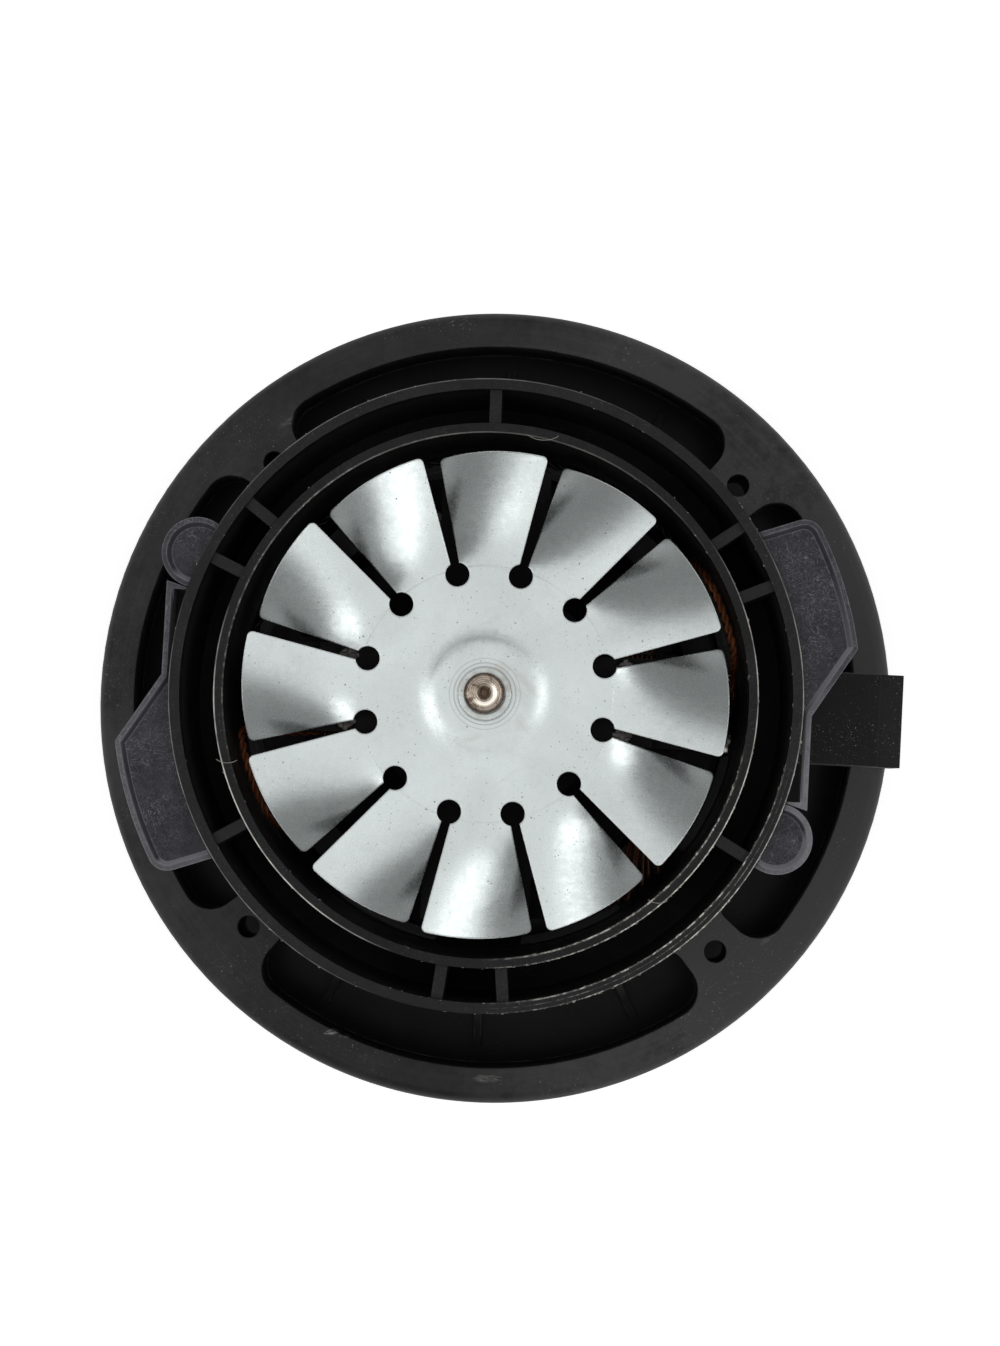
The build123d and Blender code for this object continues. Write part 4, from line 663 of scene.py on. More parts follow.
def varnished_copper_wire(name, colour, strand, unshaded_direction=None):
    """Enamelled wire, with pooled varnish; painted black as shade outside its unshaded direction, and on its
    upper end when no direction is given.
    """
    f = Finish(name)
    pooled = f.clouds((120, 5, 0.65, 0.8), 0.42, 0.70)
    along = f.noise(strand, 3, 0.6)
    base = f.blend(f.spread(along), shade(colour, 0.72), shade(colour, 1.3))
    base = f.over(base, shade(colour, 0.22), pooled, 0.75)
    # Painted shade: black outside the unshaded direction, else black on the upper end.
    base = f.blend(f.towards(*unshaded_direction), (0.006, 0.004, 0.0035), base) if unshaded_direction else f.painted_top_shade(base)
    return f.coat(base, f.level(pooled, 0.44, 0.30), 0.1, f.bump(along, 0.00003),
                  Specular_IOR_Level=0.25, Coat_Weight=0.12, Coat_Roughness=0.2)


def running_copper():
    """Commutator copper with a dark polished track where the brushes run."""
    look = settings().metals
    f = Finish("running_copper")
    track = f.times(f.between(f.z, 0.0995, 0.1008), f.between(f.z, 0.1102, 0.1115, 1.0, 0.0))
    lines = f.grain((20, 60, 4200), place=f.round_place(0.013))
    base = f.blend(f.spread(lines), look.copper_colour, shade(look.copper_colour, 0.75))
    base = f.over(base, (0.10, 0.055, 0.045), track, 0.72)
    return f.coat(base, f.spread(lines, 0.18, 0.34), 1.0, f.bump(lines, 0.00002))


def tarnished_brass(name, tarnish, bright):
    """Folded brass with brown tarnish and brighter edges."""
    look = settings().metals
    f = Finish(name)
    brown = f.clouds((190, 5, 0.65, 1.0), 0.42, 0.72)
    base = f.blend(f.plus(tarnish, f.times(brown, 0.95 - tarnish)), look.brass_colour, (0.10, 0.055, 0.022))
    base = f.over(base, (0.88, 0.72, 0.40), f.edge_wear_and_highlight(0.00025), bright)
    grain = f.bump(f.noise(1500, 3), 0.00001, f.soft_normal)
    return f.coat(base, f.level(brown, 0.24, 0.46), 0.97, grain)


def pressed_carbon():
    """Dull grey pressed carbon with fine pores and soft streaks along its length."""
    f = Finish("pressed_carbon")
    pores = f.specks(2300, 0.22)
    streak = f.grain((160, 1900, 1900))
    base = f.blend(f.spread(streak), (0.020, 0.020, 0.021), (0.062, 0.062, 0.063))
    base = f.over(base, (0.006, 0.006, 0.006), pores, 0.8)
    return f.coat(base, f.spread(streak, 0.38, 0.55), 0.2, f.bump(f.times(pores, -1.0), 0.00004))


def insulating_board():
    """Pale pressed board, mottled and stained by varnish, with painted shade on its upper end."""
    look = settings().windings
    f = Finish("insulating_board")
    fibre = f.grain((400, 1500, 900), 4, 0.7, turn=(0.3, 0.2, 0.5))
    stain = f.clouds((75, 5, 0.6, 1.0), 0.44, 0.70)
    base = f.blend(f.spread(fibre), shade(look.paper_colour, 0.85), look.paper_colour)
    base = f.over(base, (0.25, 0.14, 0.05), stain, 0.55)
    # Painted shade: the upper end of the liner is blackened.
    return f.coat(f.painted_top_shade(base), 0.62, normal=f.bump(fibre, 0.00004), Specular_IOR_Level=0.2)


def moulded_phenolic():
    """Dark brown resin with pale filler flecks."""
    f = Finish("moulded_phenolic")
    fleck = f.times(f.specks(900, 0.2), f.clouds((300,), 0.45, 0.6))
    tone = f.noise(120, 4)
    base = f.blend(f.spread(tone), (0.050, 0.022, 0.012), (0.11, 0.050, 0.026))
    base = f.over(base, (0.30, 0.22, 0.15), fleck, 0.6)
    return f.coat(base, f.spread(tone, 0.28, 0.44), normal=f.bump(tone, 0.00003))


def glass_filled_plastic():
    """Dull black moulded plastic with short fibre streaks."""
    f = Finish("holder_plastic")
    fibres = f.hairlines(700, 0.02, 1.0)
    tone = f.noise(180, 4)
    base = f.blend(f.spread(tone), (0.0035, 0.0035, 0.0035), (0.0075, 0.0070, 0.0068))
    base = f.over(base, (0.06, 0.057, 0.054), fibres, 0.12)
    edge = f.edge_wear_and_highlight(0.0003)
    base = f.over(base, (0.2, 0.2, 0.19), edge, 0.08)
    return f.coat(base, f.spread(tone, 0.5, 0.68),
                  normal=f.bump(fibres, 0.00003, f.soft_normal), Specular_IOR_Level=0.10)


def greased_rubber():
    """Soft black rubber with a film of grease and dust."""
    f = Finish("seal_rubber")
    film = f.clouds((220, 4, 0.6, 0.6), 0.42, 0.68)
    base = f.blend(film, (0.016, 0.016, 0.016), (0.050, 0.046, 0.040))
    return f.coat(base, f.level(film, 0.70, 0.38), normal=f.bump(f.noise(1500, 4), 0.00003))


def wire_curves(name, paths, radius, material, closed=False, body="stator", sides=2):
    """Bare wires along lists of points, as one mesh piece that rides on a body."""
    curve = bpy.data.curves.new(name, "CURVE")
    curve.dimensions = "3D"
    curve.bevel_depth = radius
    curve.bevel_resolution = sides
    curve.use_fill_caps = not closed
    for points in paths:
        spline = curve.splines.new("POLY")
        spline.points.add(len(points) - 1)
        for slot, point in zip(spline.points, points):
            slot.co = (point[0], point[1], point[2], 1.0)
        spline.use_cyclic_u = closed
        spline.use_smooth = True
    holder = show(bpy.data.objects.new(name + "_route", curve))
    bpy.context.view_layer.update()
    mesh = bpy.data.meshes.new_from_object(holder.evaluated_get(bpy.context.evaluated_depsgraph_get()))
    mesh.name = name
    bpy.data.objects.remove(holder)
    mesh.materials.clear()
    mesh.materials.append(material)
    return add_piece(name, mesh, body)


def add_piece(name, mesh, body):
    """Show a mesh as a piece that rides on a body."""
    piece = show(bpy.data.objects.new(name, mesh))
    for face in mesh.polygons:
        face.use_smooth = True
    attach(piece, body)
    return piece


def share_between(value, first, last):
    """How far a value lies between two others, from 0 to 1."""
    return min(1.0, max(0.0, (value - first) / (last - first)))


def rounded_rectangle(half_width, half_height, corner):
    """Points of a rectangle with round corners, anticlockwise from the lower right."""
    points = []
    for turn, (sx, sy) in enumerate(((1, -1), (1, 1), (-1, 1), (-1, -1))):
        cx, cy = sx * (half_width - corner), sy * (half_height - corner)
        for k in range(5):
            angle = radians(90 * (turn - 1 + k / 4))
            points.append((cx + corner * cos(angle), cy + corner * sin(angle)))
        ahead = ((half_width, half_height - corner), (-half_width + corner, half_height),
                 (-half_width, -half_height + corner), (half_width - corner, -half_height))[turn]
        last = Vector(points[-1])
        points += [tuple(last + (Vector(ahead) - last) * k / 4) for k in (1, 2, 3)]
    return points


def polar(radius, angle, height):
    """A point at this distance and angle from the shaft, in metres."""
    return Vector((radius * cos(angle), radius * sin(angle), height))


class MOTOR_OT_camera(bpy.types.Operator):
    """Set the camera that looks straight down on the unit"""
    bl_idname = "motor.camera"
    bl_label = "Camera"

    def execute(self, context):
        width, height = PHOTO_SIZE
        away = settings().stage.camera_distance
        back = Vector((*CAMERA_LEAN, FOCAL_PIXELS)).normalized()
        turn = radians(CAMERA_ROLL)
        right = Vector((cos(turn), sin(turn), 0.0))
        right = (right - right.dot(back) * back).normalized()
        up = back.cross(right)
        rotation = Matrix((right, up, back))
        spot = Vector(((AXIS_PIXELS[0] - width / 2) / FOCAL_PIXELS * away,
                       (height / 2 - AXIS_PIXELS[1]) / FOCAL_PIXELS * away, -away))
        data = bpy.data.cameras.new("photo_camera")
        data.sensor_fit = "VERTICAL"
        data.sensor_height = 36.0
        data.lens = FOCAL_PIXELS * data.sensor_height / height
        data.clip_start = 0.01
        data.clip_end = 30.0
        camera = show(bpy.data.objects.new("photo_camera", data))
        top = Vector((0.0, 0.0, COLLAR_TOP))
        camera.matrix_world = Matrix.Translation(top - rotation @ spot) @ rotation.to_4x4()
        context.scene.camera = camera
        return {"FINISHED"}


class MOTOR_OT_moulded_parts(bpy.types.Operator):
    """Finish the flange, the housing, the collar and the connector"""
    bl_idname = "motor.moulded_parts"
    bl_label = "Moulded parts"

    def execute(self, context):
        paint(scuffed_flange_plastic(), "base_flange")
        paint(shaded_housing_plastic(), "motor_housing")
        # Directions in which the collar and ring rims carry painted highlights.
        low_right, left, right = (-48, 40, 12), (208, 45, 20), (-12, 50, 20)
        outer, inner = COLLAR_EDGES
        steady_highlights = [(outer, 0.00022, *right, 0.55), (outer, 0.00018, *left, 0.35),
                  (outer - 0.00005, 0.00016, 110, 50, 20, 0.22)]
        beaded_highlights = [(inner, 0.00026, *low_right, 1.0), (outer, 0.00022, *low_right, 0.9),
                  (0.0630, 0.00014, *low_right, 0.25)]
        paint(collar_plastic("collar_plastic", 0.15, steady_highlights, beaded_highlights), "outer_collar")
        outer, inner = RING_EDGES
        steady_highlights = [(outer, 0.00026, *left, 1.0), (outer, 0.00022, *right, 0.85),
                  (inner + 0.00003, 0.00018, 100, 70, 20, 0.20)]
        beaded_highlights = [(inner, 0.00030, *low_right, 1.0), (outer, 0.00026, *low_right, 1.0),
                  (inner, 0.00030, 150, 60, 20, 0.25)]
        paint(collar_plastic("ring_plastic", 0.12, steady_highlights, beaded_highlights), "inner_ring")
        paint(dusty_connector_plastic(), "connector_housing")
        paint(glass_filled_plastic(), "brush_holder_right", "brush_holder_left", "bearing_bridge")
        paint(greased_rubber(), "shaft_seal")
        return {"FINISHED"}


class MOTOR_OT_cooling_fan(bpy.types.Operator):
    """Finish the cooling fan, its hub and the shaft"""
    bl_idname = "motor.cooling_fan"
    bl_label = "Cooling fan"

    def execute(self, context):
        paint(zinc_plated_sheet(), "cooling_fan", "fan_hub")
        paint(turned_shaft_steel(), "shaft")
        return {"FINISHED"}


class MOTOR_OT_fan_chamber(bpy.types.Operator):
    """Finish the shell, the bracket and the impeller"""
    bl_idname = "motor.fan_chamber"
    bl_label = "Fan chamber"

    def execute(self, context):
        paint(spangled_shell_steel(), "fan_shell")
        paint(die_cast_alloy(), "fan_end_bracket")
        paint(rolled_impeller_alloy(), "impeller_front_disc", "impeller_back_disc", "impeller_vanes",
              "impeller_spacer", "impeller_washer")
        return {"FINISHED"}


class MOTOR_OT_fasteners_and_bearings(bpy.types.Operator):
    """Finish the screws, bolts, nut and ball bearings"""
    bl_idname = "motor.fasteners_and_bearings"
    bl_label = "Fasteners and bearings"

    def execute(self, context):
        zinc = plated_screw_steel("screw_steel", (0.66, 0.66, 0.63), (0.42, 0.40, 0.35))
        paint(zinc, "bracket_screws", "housing_screws", "connector_screws", "impeller_nut",
              "bearing_wave_washer")
        black = plated_screw_steel("blackened_screw_steel", (0.075, 0.072, 0.070), (0.030, 0.028, 0.027))
        paint(black, "brush_holder_screws", "stator_bolts")
        paint(polished_bearing_steel(), "lower_bearing_outer_race", "lower_bearing_inner_race",
              "lower_bearing_balls", "upper_bearing_outer_race", "upper_bearing_inner_race",
              "upper_bearing_balls")
        return {"FINISHED"}


class MOTOR_OT_brush_gear(bpy.types.Operator):
    """Finish the commutator, brushes, tubes and terminals"""
    bl_idname = "motor.brush_gear"
    bl_label = "Brush gear"

    def execute(self, context):
        paint(running_copper(), "commutator_bars")
        paint(moulded_phenolic(), "commutator_hub", "armature_end_discs")
        paint(pressed_carbon(), "carbon_brush_right", "carbon_brush_left")
        paint(tarnished_brass("tarnished_brass", 0.75, 0.15), "brush_tube_right", "brush_tube_left")
        paint(tarnished_brass("terminal_brass", 0.20, 0.60), "connector_terminals")
        steel = plated_screw_steel("spring_steel", (0.52, 0.52, 0.50), (0.30, 0.29, 0.27))
        for side, word in ((1.0, "right"), (-1.0, "left")):
            self.spring(side, word, steel)
        return {"FINISHED"}

    def spring(self, side, word, steel):
        """A wound spring with dead end turns."""
        wire, coil, middle, seat, travel = SPRING.values()
        node = "brush_spring_" + word
        low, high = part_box(node)
        near = min(abs(low.x), abs(high.x))
        turns, steps, dead, lap = 6.5, 24, 0.8, 0.55
        step = 2 * wire * lap
        run = seat - 0.0001 - wire - (near + wire) - 2 * step * dead
        rows = []
        for i in range(int(turns * steps) + 1):
            turn = i / steps
            x = near + wire + step * (min(turn, dead) + max(0.0, turn - turns + dead))
            x += run * share_between(turn, dead, turns - dead)
            swing = tau * turn
            rows.append((side * x, coil * cos(swing), middle + side * coil * sin(swing)))
        spring = wire_curves("wound_" + node, [rows], wire, steel)
        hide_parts(node)
        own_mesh(spring)


class MOTOR_OT_cores(bpy.types.Operator):
    """Finish the stator and armature stacks and the coil liners"""
    bl_idname = "motor.cores"
    bl_label = "Cores"

    def execute(self, context):
        paint(stacked_lamination(), "stator_core", "armature_core")
        paint(insulating_board(), "coil_liner_right", "coil_liner_left")
        return {"FINISHED"}


class MOTOR_OT_field_coils(bpy.types.Operator):
    """Wind the two field coils in fine wire, with lacing round their ends"""
    bl_idname = "motor.field_coils"
    bl_label = "Field coils"

    def execute(self, context):
        look = settings().windings
        enamel = varnished_copper_wire("coil_enamel", look.enamel_colour, 260)
        string = varnished_copper_wire("lacing_string", (0.34, 0.20, 0.10), 900)
        rng = random.Random(11)
        for side, node in ((1, "field_coil_right"), (-1, "field_coil_left")):
            low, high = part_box(node)
            r = look.coil_wire
            rows = look.coil_rows
            near, far = sorted((abs(low.x), abs(high.x)))
            near, far = near + r, far - r
            deep = far - near
            middle = (low.z + high.z) / 2
            half_y = high.y - r
            half_z = (high.z - low.z) / 2 - r
            loops = []
            for row in range(rows):
                for turn in range(rows):
                    inset = deep * (1 - turn / (rows - 1))
                    x = near + deep * (row / (rows - 1))
                    wobble = [rng.uniform(-1, 1) * r * 0.12 for _ in range(3)]
                    corner = 0.0030 + (deep - inset)
                    outline = rounded_rectangle(half_y - inset + wobble[1], half_z - inset + wobble[2],
                                                corner)
                    loops.append([(side * (x + wobble[0]), y, middle + z) for y, z in outline])
            coil = wire_curves(node + "_wires", loops, r * 1.02, enamel, closed=True, sides=1)
            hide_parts(node)
            self.lace(node, side, near, far, half_z, middle, string, rng)
        return {"FINISHED"}

    def lace(self, node, side, near, far, half_z, middle, string, rng):
        """Twisted string round each end of the bundle."""
        deep = far - near
        ties = []
        for end in (-1, 1):
            for shift in (-0.011, 0.0, 0.011):
                for strand in (0, 1):
                    points = []
                    around = rounded_rectangle(deep / 2 + 0.0008, deep / 2 + 0.0008, 0.0016)
                    total = len(around)
                    for k, (u, v) in enumerate(around):
                        phase = tau * 9 * k / total + pi * strand
                        points.append((side * ((near + far) / 2 + u + 0.00022 * cos(phase)),
                                       shift + 0.00028 * sin(phase) + 0.0004 * rng.uniform(-1, 1) * 0.1,
                                       middle + end * (half_z - deep / 2 + v)))
                    ties.append(points)
        tie = wire_curves(node + "_lacing", ties, 0.00026, string, closed=True, sides=1)


class MOTOR_OT_armature_winding(bpy.types.Operator):
    """Wind the armature: wires in the slots and crossing end turns"""
    bl_idname = "motor.armature_winding"
    bl_label = "Armature winding"

    def execute(self, context):
        look = settings().windings
        enamel = varnished_copper_wire("armature_enamel", shade(look.enamel_colour, 0.9), 300)
        rng = random.Random(5)
        slots, span, wires = 12, 5, 7
        low_box, high_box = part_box("armature_winding")
        core_low, core_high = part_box("armature_core")
        r = look.armature_wire
        slot_circle = 0.0154
        root, crown = 0.0074 + r, 0.0174 - r
        paths = []
        for end in (-1, 1):
            start_z = core_high.z if end > 0 else core_low.z
            room = (high_box.z - core_high.z if end > 0 else core_low.z - low_box.z) - 2 * r
            for slot in range(slots):
                first = tau * slot / slots
                last = tau * (slot + span) / slots
                tier = slot / (slots - 1)
                for wire in range(wires):
                    spread = (wire - (wires - 1) / 2) * 2.05 * r
                    points = []
                    steps = 22
                    for k in range(steps + 1):
                        t = k / steps
                        arch = sin(pi * t)
                        angle = first + (last - first) * t
                        bulge = 0.0019 * sin(2 * pi * min(t, 1 - t)) * 1.4
                        sunk = (slot_circle - root - 0.0035 * tier) * arch ** 0.7
                        radius = min(max(slot_circle + bulge * 0.6 - sunk + spread * 0.55, root), crown)
                        height = 0.0012 + (room - 0.0018) * (0.30 + 0.70 * tier)
                        rise = height * min(1.0, 2.6 * min(t, 1 - t) + 0.02)
                        rise = min(rise + (spread * 0.4 + 0.3 * r * rng.uniform(-1, 1)) * arch, room)
                        points.append(polar(radius, angle, start_z + end * max(rise, 0.0)))
                    paths.append(points)
        for slot in range(slots):
            angle = tau * slot / slots
            for dx, dy in SLOT_WIRES:
                across = Vector((slot_circle + dx * MM, dy * MM * 0.9, 0.0))
                x, y, _ = Matrix.Rotation(angle, 3, "Z") @ across
                paths.append([(x, y, core_low.z - 0.0012), (x, y, core_high.z + 0.0012)])
        winding = wire_curves("armature_wires", paths, r, enamel, body="rotor", sides=1)
        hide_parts("armature_winding")
        return {"FINISHED"}


class MOTOR_OT_lead_wires(bpy.types.Operator):
    """Twist the two lead wires that run from the connector to the coils"""
    bl_idname = "motor.lead_wires"
    bl_label = "Lead wires"

    def execute(self, context):
        look = settings().windings
        # The strands keep their colour only towards the given direction and are painted black as shade
        # elsewhere.
        finish = varnished_copper_wire("lead_strands", look.lead_colour, 500, (20, 19, 9))
        for node, points in (("lead_wire_short", self.short_route()), ("lead_wire_long", self.long_route())):
            lead = wire_curves(node + "_strands", self.twisted(points, look), look.lead_strand, finish)
            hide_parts(node)
        self.tails(look)
        return {"FINISHED"}

    def tails(self, look):
        """The spliced tail beside the left coil and the fan of coil ends beside the right one."""
        # Painted shade: these strands keep their colour only towards the given direction.
        brown = varnished_copper_wire("tail_strands", look.lead_colour, 500, (225, 176, 170))
        left = [(-0.0338, -0.0085, 0.0925), (-0.0420, -0.0094, 0.0930), (-0.0468, -0.0092, 0.0945),
                (-0.0496, -0.0090, 0.0985), (-0.0507, -0.0096, 0.1030)]
        left += [polar(0.0516, radians(a), 0.1050) for a in range(193, 212, 3)]
        left += [polar(r, radians(a), z)
                 for r, a, z in ((0.0514, 214, 0.1015), (0.0498, 217, 0.0930), (0.0475, 219, 0.0868))]
        tail = wire_curves("left_coil_tail", self.twisted(left, look), look.lead_strand, brown)
        rng = random.Random(21)
        ends = []
        for k in range(9):
            angle = radians(-38 - 2.4 * k)
            start = (0.0338, -0.0105 - 0.0011 * k, 0.0950 - 0.0004 * k)
            out = polar(0.0508 + 0.0006 * rng.uniform(-1, 1), angle, 0.1000 + 0.0020 * rng.uniform(-1, 1))
            rest = polar(0.0478, angle - 0.02, 0.0867)
            rng.random()  # keeps the next ends where they are
            raised = Vector(start).lerp(out, 0.5) + Vector((0, 0, 0.0012))
            ends.append(self.smoothed([start, raised, out, rest]))
        # Painted shade: these strands keep their colour only towards the given direction.
        dark = varnished_copper_wire("coil_end_strands", shade(look.lead_colour, 0.35), 400, (-50, 60, 40))
        bundle = wire_curves("right_coil_ends", ends, look.lead_strand * 0.9, dark)

    def smoothed(self, points):
        """A dense, softened line through these points."""
        line = [Vector(p) for p in points]
        dense = []
        for a, b in zip(line, line[1:]):
            count = max(1, round((b - a).length / ROUTE_STEP))
            dense += [a.lerp(b, k / count) for k in range(count)]
        dense.append(line[-1])
        for _ in range(ROUTE_PASSES):
            inner = [(a + 2 * b + c) / 4 for a, b, c in zip(dense, dense[1:], dense[2:])]
            dense = [dense[0], *inner, dense[-1]]
        return dense

    def short_route(self):
        """From the connector up to the near end of the right coil."""
        low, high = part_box("lead_wire_short")
        y, r = -0.0015, 0.0009
        return [(high.x, y, 0.071), (0.0539, y, 0.071), (0.0521, y, 0.0718), (0.0513, y, 0.0736),
                (0.0513, y, 0.0885), (0.0498, y, 0.0920), (0.0463, y, 0.0935), (low.x, y, high.z - r)]

    def long_route(self):
        """From the connector up, and round the collar to the left coil."""
        y = 0.0015
        points = [(0.0600, y, 0.071), (0.0541, y, 0.071), (0.0523, y, 0.0718), (0.0515, y, 0.0736),
                  (0.0515, y, 0.0880), (0.0514, 0.0026, 0.0917)]
        steps = 44
        first, last = radians(7.2), radians(168.0)
        for k in range(steps + 1):
            t = k / steps
            lift = min(1.0, t / 0.035, max(0.0, (0.21 - t) / 0.06))
            angle = first + (last - first) * t
            points.append(polar(0.0513 + 0.0005 * lift, angle, 0.0935 + 0.0125 * lift))
        return points + [(-0.0485, 0.0072, 0.0935), (-0.0455, 0.0058, 0.0935)]

    def twisted(self, points, look):
        """Two strands that turn round the route."""
        dense = self.smoothed(points)
        travelled = 0.0
        side = Vector((0, 0, 1)).cross(dense[1] - dense[0])
        side = side.normalized() if side.length > 1e-9 else Vector((0, 1, 0))
        strands = ([], [])
        for k, point in enumerate(dense):
            ahead = (dense[min(k + 1, len(dense) - 1)] - dense[max(k - 1, 0)]).normalized()
            side = (side - side.dot(ahead) * ahead).normalized()
            other = ahead.cross(side)
            if k:
                travelled += (point - dense[k - 1]).length
            for n, strand in enumerate(strands):
                phase = tau * travelled / look.lead_pitch + pi * n
                strand.append(point + look.lead_strand * (side * cos(phase) + other * sin(phase)))
        return strands


class MOTOR_OT_rim_flash(bpy.types.Operator):
    """Add bits of moulding flash and stray fibres to the two rims"""
    bl_idname = "motor.rim_flash"
    bl_label = "Rim flash"

    def execute(self, context):
        for name, (radii, seed) in FLASH.items():
            self.flakes(name, radii, seed)
        self.fibres()
        return {"FINISHED"}

    def flakes(self, name, radii, seed):
        """Small bits of flash along the edges of a rim."""
        look = settings().detail
        rng = random.Random(seed)
        shape = bmesh.new()
        for _ in range(look.flake_count):
            lower_right = rng.random() < 0.7
            angle = radians(rng.gauss(-42, 34) if lower_right else rng.uniform(0, 360))
            radius = rng.choice(radii) + rng.uniform(-0.00012, 0.00012)
            length = look.flake_size * rng.uniform(0.25, 1.5)
            width = look.flake_size * rng.uniform(0.10, 0.28)
            rise = rng.uniform(0.00002, 0.00016)
            centre = polar(radius, angle, COLLAR_TOP)
            along = Vector((-sin(angle), cos(angle), 0.0))
            out = Vector((cos(angle), sin(angle), 0.0))
            along = (along + out * rng.uniform(-0.35, 0.35)).normalized()
            out = along.cross(Vector((0, 0, 1)))
            corners = []
            count = 6
            for k in range(count):
                phase = tau * k / count
                place = centre + along * length / 2 * cos(phase) * rng.uniform(0.7, 1.1)
                place += out * width / 2 * sin(phase) * rng.uniform(0.7, 1.2)
                corners.append(shape.verts.new(place - Vector((0, 0, 0.00004))))
            crown = shape.verts.new(centre + Vector((0, 0, rise)) + out * width * rng.uniform(-0.2, 0.2))
            for k in range(count):
                shape.faces.new((corners[k], corners[(k + 1) % count], crown))
            shape.faces.new(list(reversed(corners)))
        bmesh.ops.recalc_face_normals(shape, faces=shape.faces)
        mesh = as_mesh(shape, name)
        f = Finish(name)
        tone = f.noise(1500, 3)
        base = f.blend(f.between(tone, 0.35, 0.65), (0.16, 0.155, 0.14), (0.62, 0.58, 0.48))
        mesh.materials.append(f.coat(base, 0.45, normal=f.bump(tone, 0.00003)))
        piece = add_piece(name, mesh, "stator")

    def fibres(self):
        """Three stray fibres on the inner rim."""
        look = settings().detail
        f = Finish("stray_fibre")
        tone = f.noise(2500, 2)
        base = f.blend(tone, (0.20, 0.19, 0.17), (0.45, 0.43, 0.38))
        finish = f.coat(base, 0.5, normal=f.bump(tone, 0.00001))
        top = COLLAR_TOP + look.fibre_radius
        curls = []
        for start, turn, size in FIBRES:
            middle = polar(FIBRE_CIRCLE, radians(start), top)
            points = []
            for k in range(25):
                t = k / 24
                swing = (t - 0.5) * 2.1 * turn
                curl = (sin(swing), -0.30 * cos(swing * 1.4), 0.0)
                lift = Vector((0, 0, 0.0001 * sin(9 * t) ** 2))
                points.append(middle + size * MM * Vector(curl) + lift)
            curls.append(points)
        piece = wire_curves("stray_fibres", curls, look.fibre_radius, finish, sides=1)


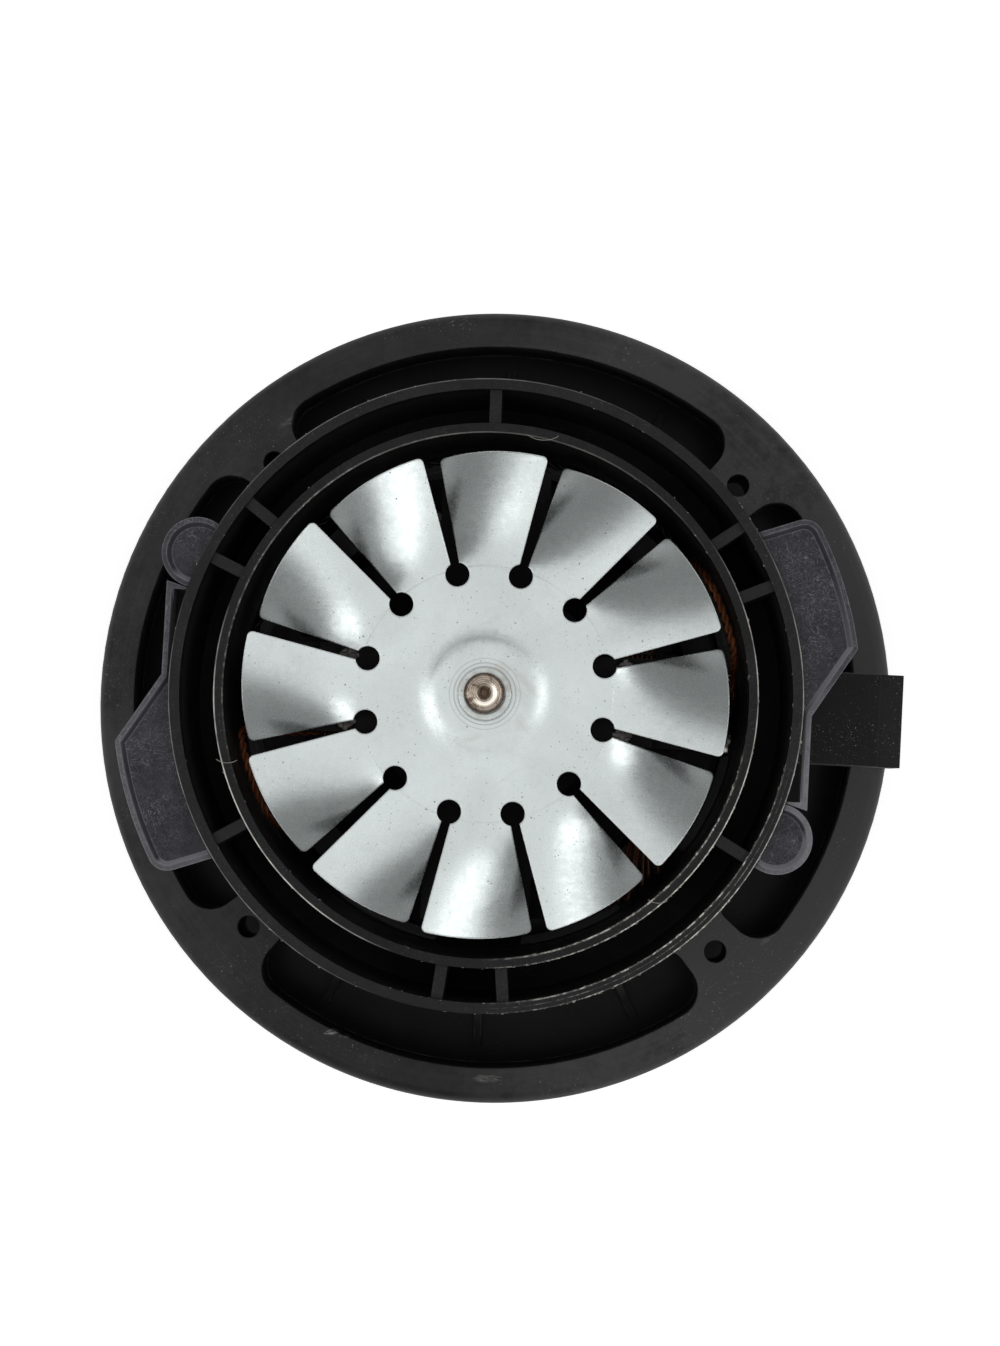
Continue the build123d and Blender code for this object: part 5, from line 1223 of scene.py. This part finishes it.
class MOTOR_OT_stage(bpy.types.Operator):
    """Lay the pale floor and set the soft lamps and sky"""
    bl_idname = "motor.stage"
    bl_label = "Stage"

    def execute(self, context):
        look = settings().stage
        self.floor(look)
        self.sky(look)
        self.lamp("key_lamp", look.key_strength, *KEY_LAMP)
        self.lamp("right_lamp", look.side_strength, *RIGHT_LAMP)
        self.lamp("left_lamp", look.side_strength, *LEFT_LAMP)
        context.scene.view_settings.view_transform = "Standard"
        return {"FINISHED"}

    def lamp(self, name, strength, angle, lean):
        """A soft distant lamp, leaning from overhead by degrees about X and Y."""
        data = bpy.data.lights.new(name, "SUN")
        data.energy = strength
        data.angle = radians(angle)
        lamp = show(bpy.data.objects.new(name, data))
        lamp.rotation_euler = (radians(lean[0]), radians(lean[1]), 0.0)

    def floor(self, look):
        """A pale floor: a painted shadow near the unit, open under it, and clear when seen from below."""
        shape = bmesh.new()
        bmesh.ops.create_circle(shape, cap_ends=True, segments=96, radius=FLOOR_RADIUS)
        mesh = as_mesh(shape, "floor")
        f = Finish("pale_floor")
        tint = f.blend(f.noise(3.0, 3), shade(look.floor_colour, 0.985), look.floor_colour)
        # Painted shadow: the floor turns near black under and round the unit.
        tint = f.blend(f.between(f.radius(), *FLOOR_PAINTED_SHADOW), (0.012, 0.012, 0.012), tint)
        f.coat(tint, 0.9)
        path = f.add("LightPath").outputs
        seen = f.calc("MAXIMUM", path["Is Camera Ray"],
                      f.calc("MAXIMUM", path["Is Glossy Ray"], path["Is Transmission Ray"]))
        f.shader.inputs["Emission Color"].default_value = (1.0, 1.0, 1.0, 1.0)
        clear = f.between(f.radius(), *FLOOR_GLOW, 0.0, 0.58)
        f.feed(f.times(seen, clear), f.shader.inputs["Emission Strength"])
        solid = f.calc("SUBTRACT", 1.0, f.add("NewGeometry").outputs["Backfacing"])
        f.feed(f.times(solid, f.between(f.radius(), *FLOOR_OPENING)), f.shader.inputs["Alpha"])
        mesh.materials.append(f.material)
        floor = show(bpy.data.objects.new("floor", mesh))
        floor.location.z = FLOOR_HEIGHT

    def sky(self, look):
        """A world that is bright at the horizon, dimmer above it, and plain white to the camera."""
        world = bpy.data.worlds.new("studio_sky")
        nodes = Nodes(world)
        ramp = nodes.add("ValToRGB", (nodes.parts(nodes.add("TexCoord").outputs["Generated"])[2],))
        stops = [*SKY_STOPS, (0.90, look.zenith_strength), (1.0, look.zenith_strength)]
        elements = ramp.color_ramp.elements
        while len(elements) < len(stops):
            elements.new(0.5)
        for element, (where, grey) in zip(elements, stops):
            element.position = where
            element.color = (grey, grey, grey, 1.0)
        to_camera = nodes.add("LightPath").outputs["Is Camera Ray"]
        background = nodes.add("Background", (nodes.blend(to_camera, ramp.outputs[0], (1.0, 1.0, 1.0)),))
        nodes.add("OutputWorld", (background.outputs[0],))
        bpy.context.scene.world = world


OPERATORS = (MOTOR_OT_camera, MOTOR_OT_stage, MOTOR_OT_moulded_parts, MOTOR_OT_cooling_fan,
             MOTOR_OT_fan_chamber, MOTOR_OT_fasteners_and_bearings, MOTOR_OT_brush_gear, MOTOR_OT_cores,
             MOTOR_OT_field_coils, MOTOR_OT_armature_winding, MOTOR_OT_lead_wires, MOTOR_OT_rim_flash)


class MOTOR_PT_panel(bpy.types.Panel):
    """Lists the steps that dress the motor unit"""
    bl_idname = "MOTOR_PT_panel"
    bl_label = "Motor Unit"
    bl_space_type = "VIEW_3D"
    bl_region_type = "UI"
    bl_category = "Motor Unit"

    def draw(self, context):
        unit = context.scene.motor_unit
        for operator in OPERATORS:
            self.layout.operator(operator.bl_idname)
        for name in ("plastics", "metals", "windings", "detail", "stage"):
            box = self.layout.box()
            group = getattr(unit, name)
            for key in group.__annotations__:
                box.prop(group, key)


CLASSES = (MOTOR_PG_plastics, MOTOR_PG_metals, MOTOR_PG_windings, MOTOR_PG_detail, MOTOR_PG_stage,
           MOTOR_PG_unit) + OPERATORS + (MOTOR_PT_panel,)


def register():
    for one in CLASSES:
        bpy.utils.register_class(one)
    bpy.types.Scene.motor_unit = PointerProperty(type=MOTOR_PG_unit)


def unregister():
    del bpy.types.Scene.motor_unit
    for one in reversed(CLASSES):
        bpy.utils.unregister_class(one)


def main():
    """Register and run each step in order."""
    register()
    for operator in OPERATORS:
        group, name = operator.bl_idname.split(".")
        if getattr(getattr(bpy.ops, group), name)() != {"FINISHED"}:
            raise RuntimeError(operator.bl_idname + " did not finish")


if __name__ == "__main__":
    main()
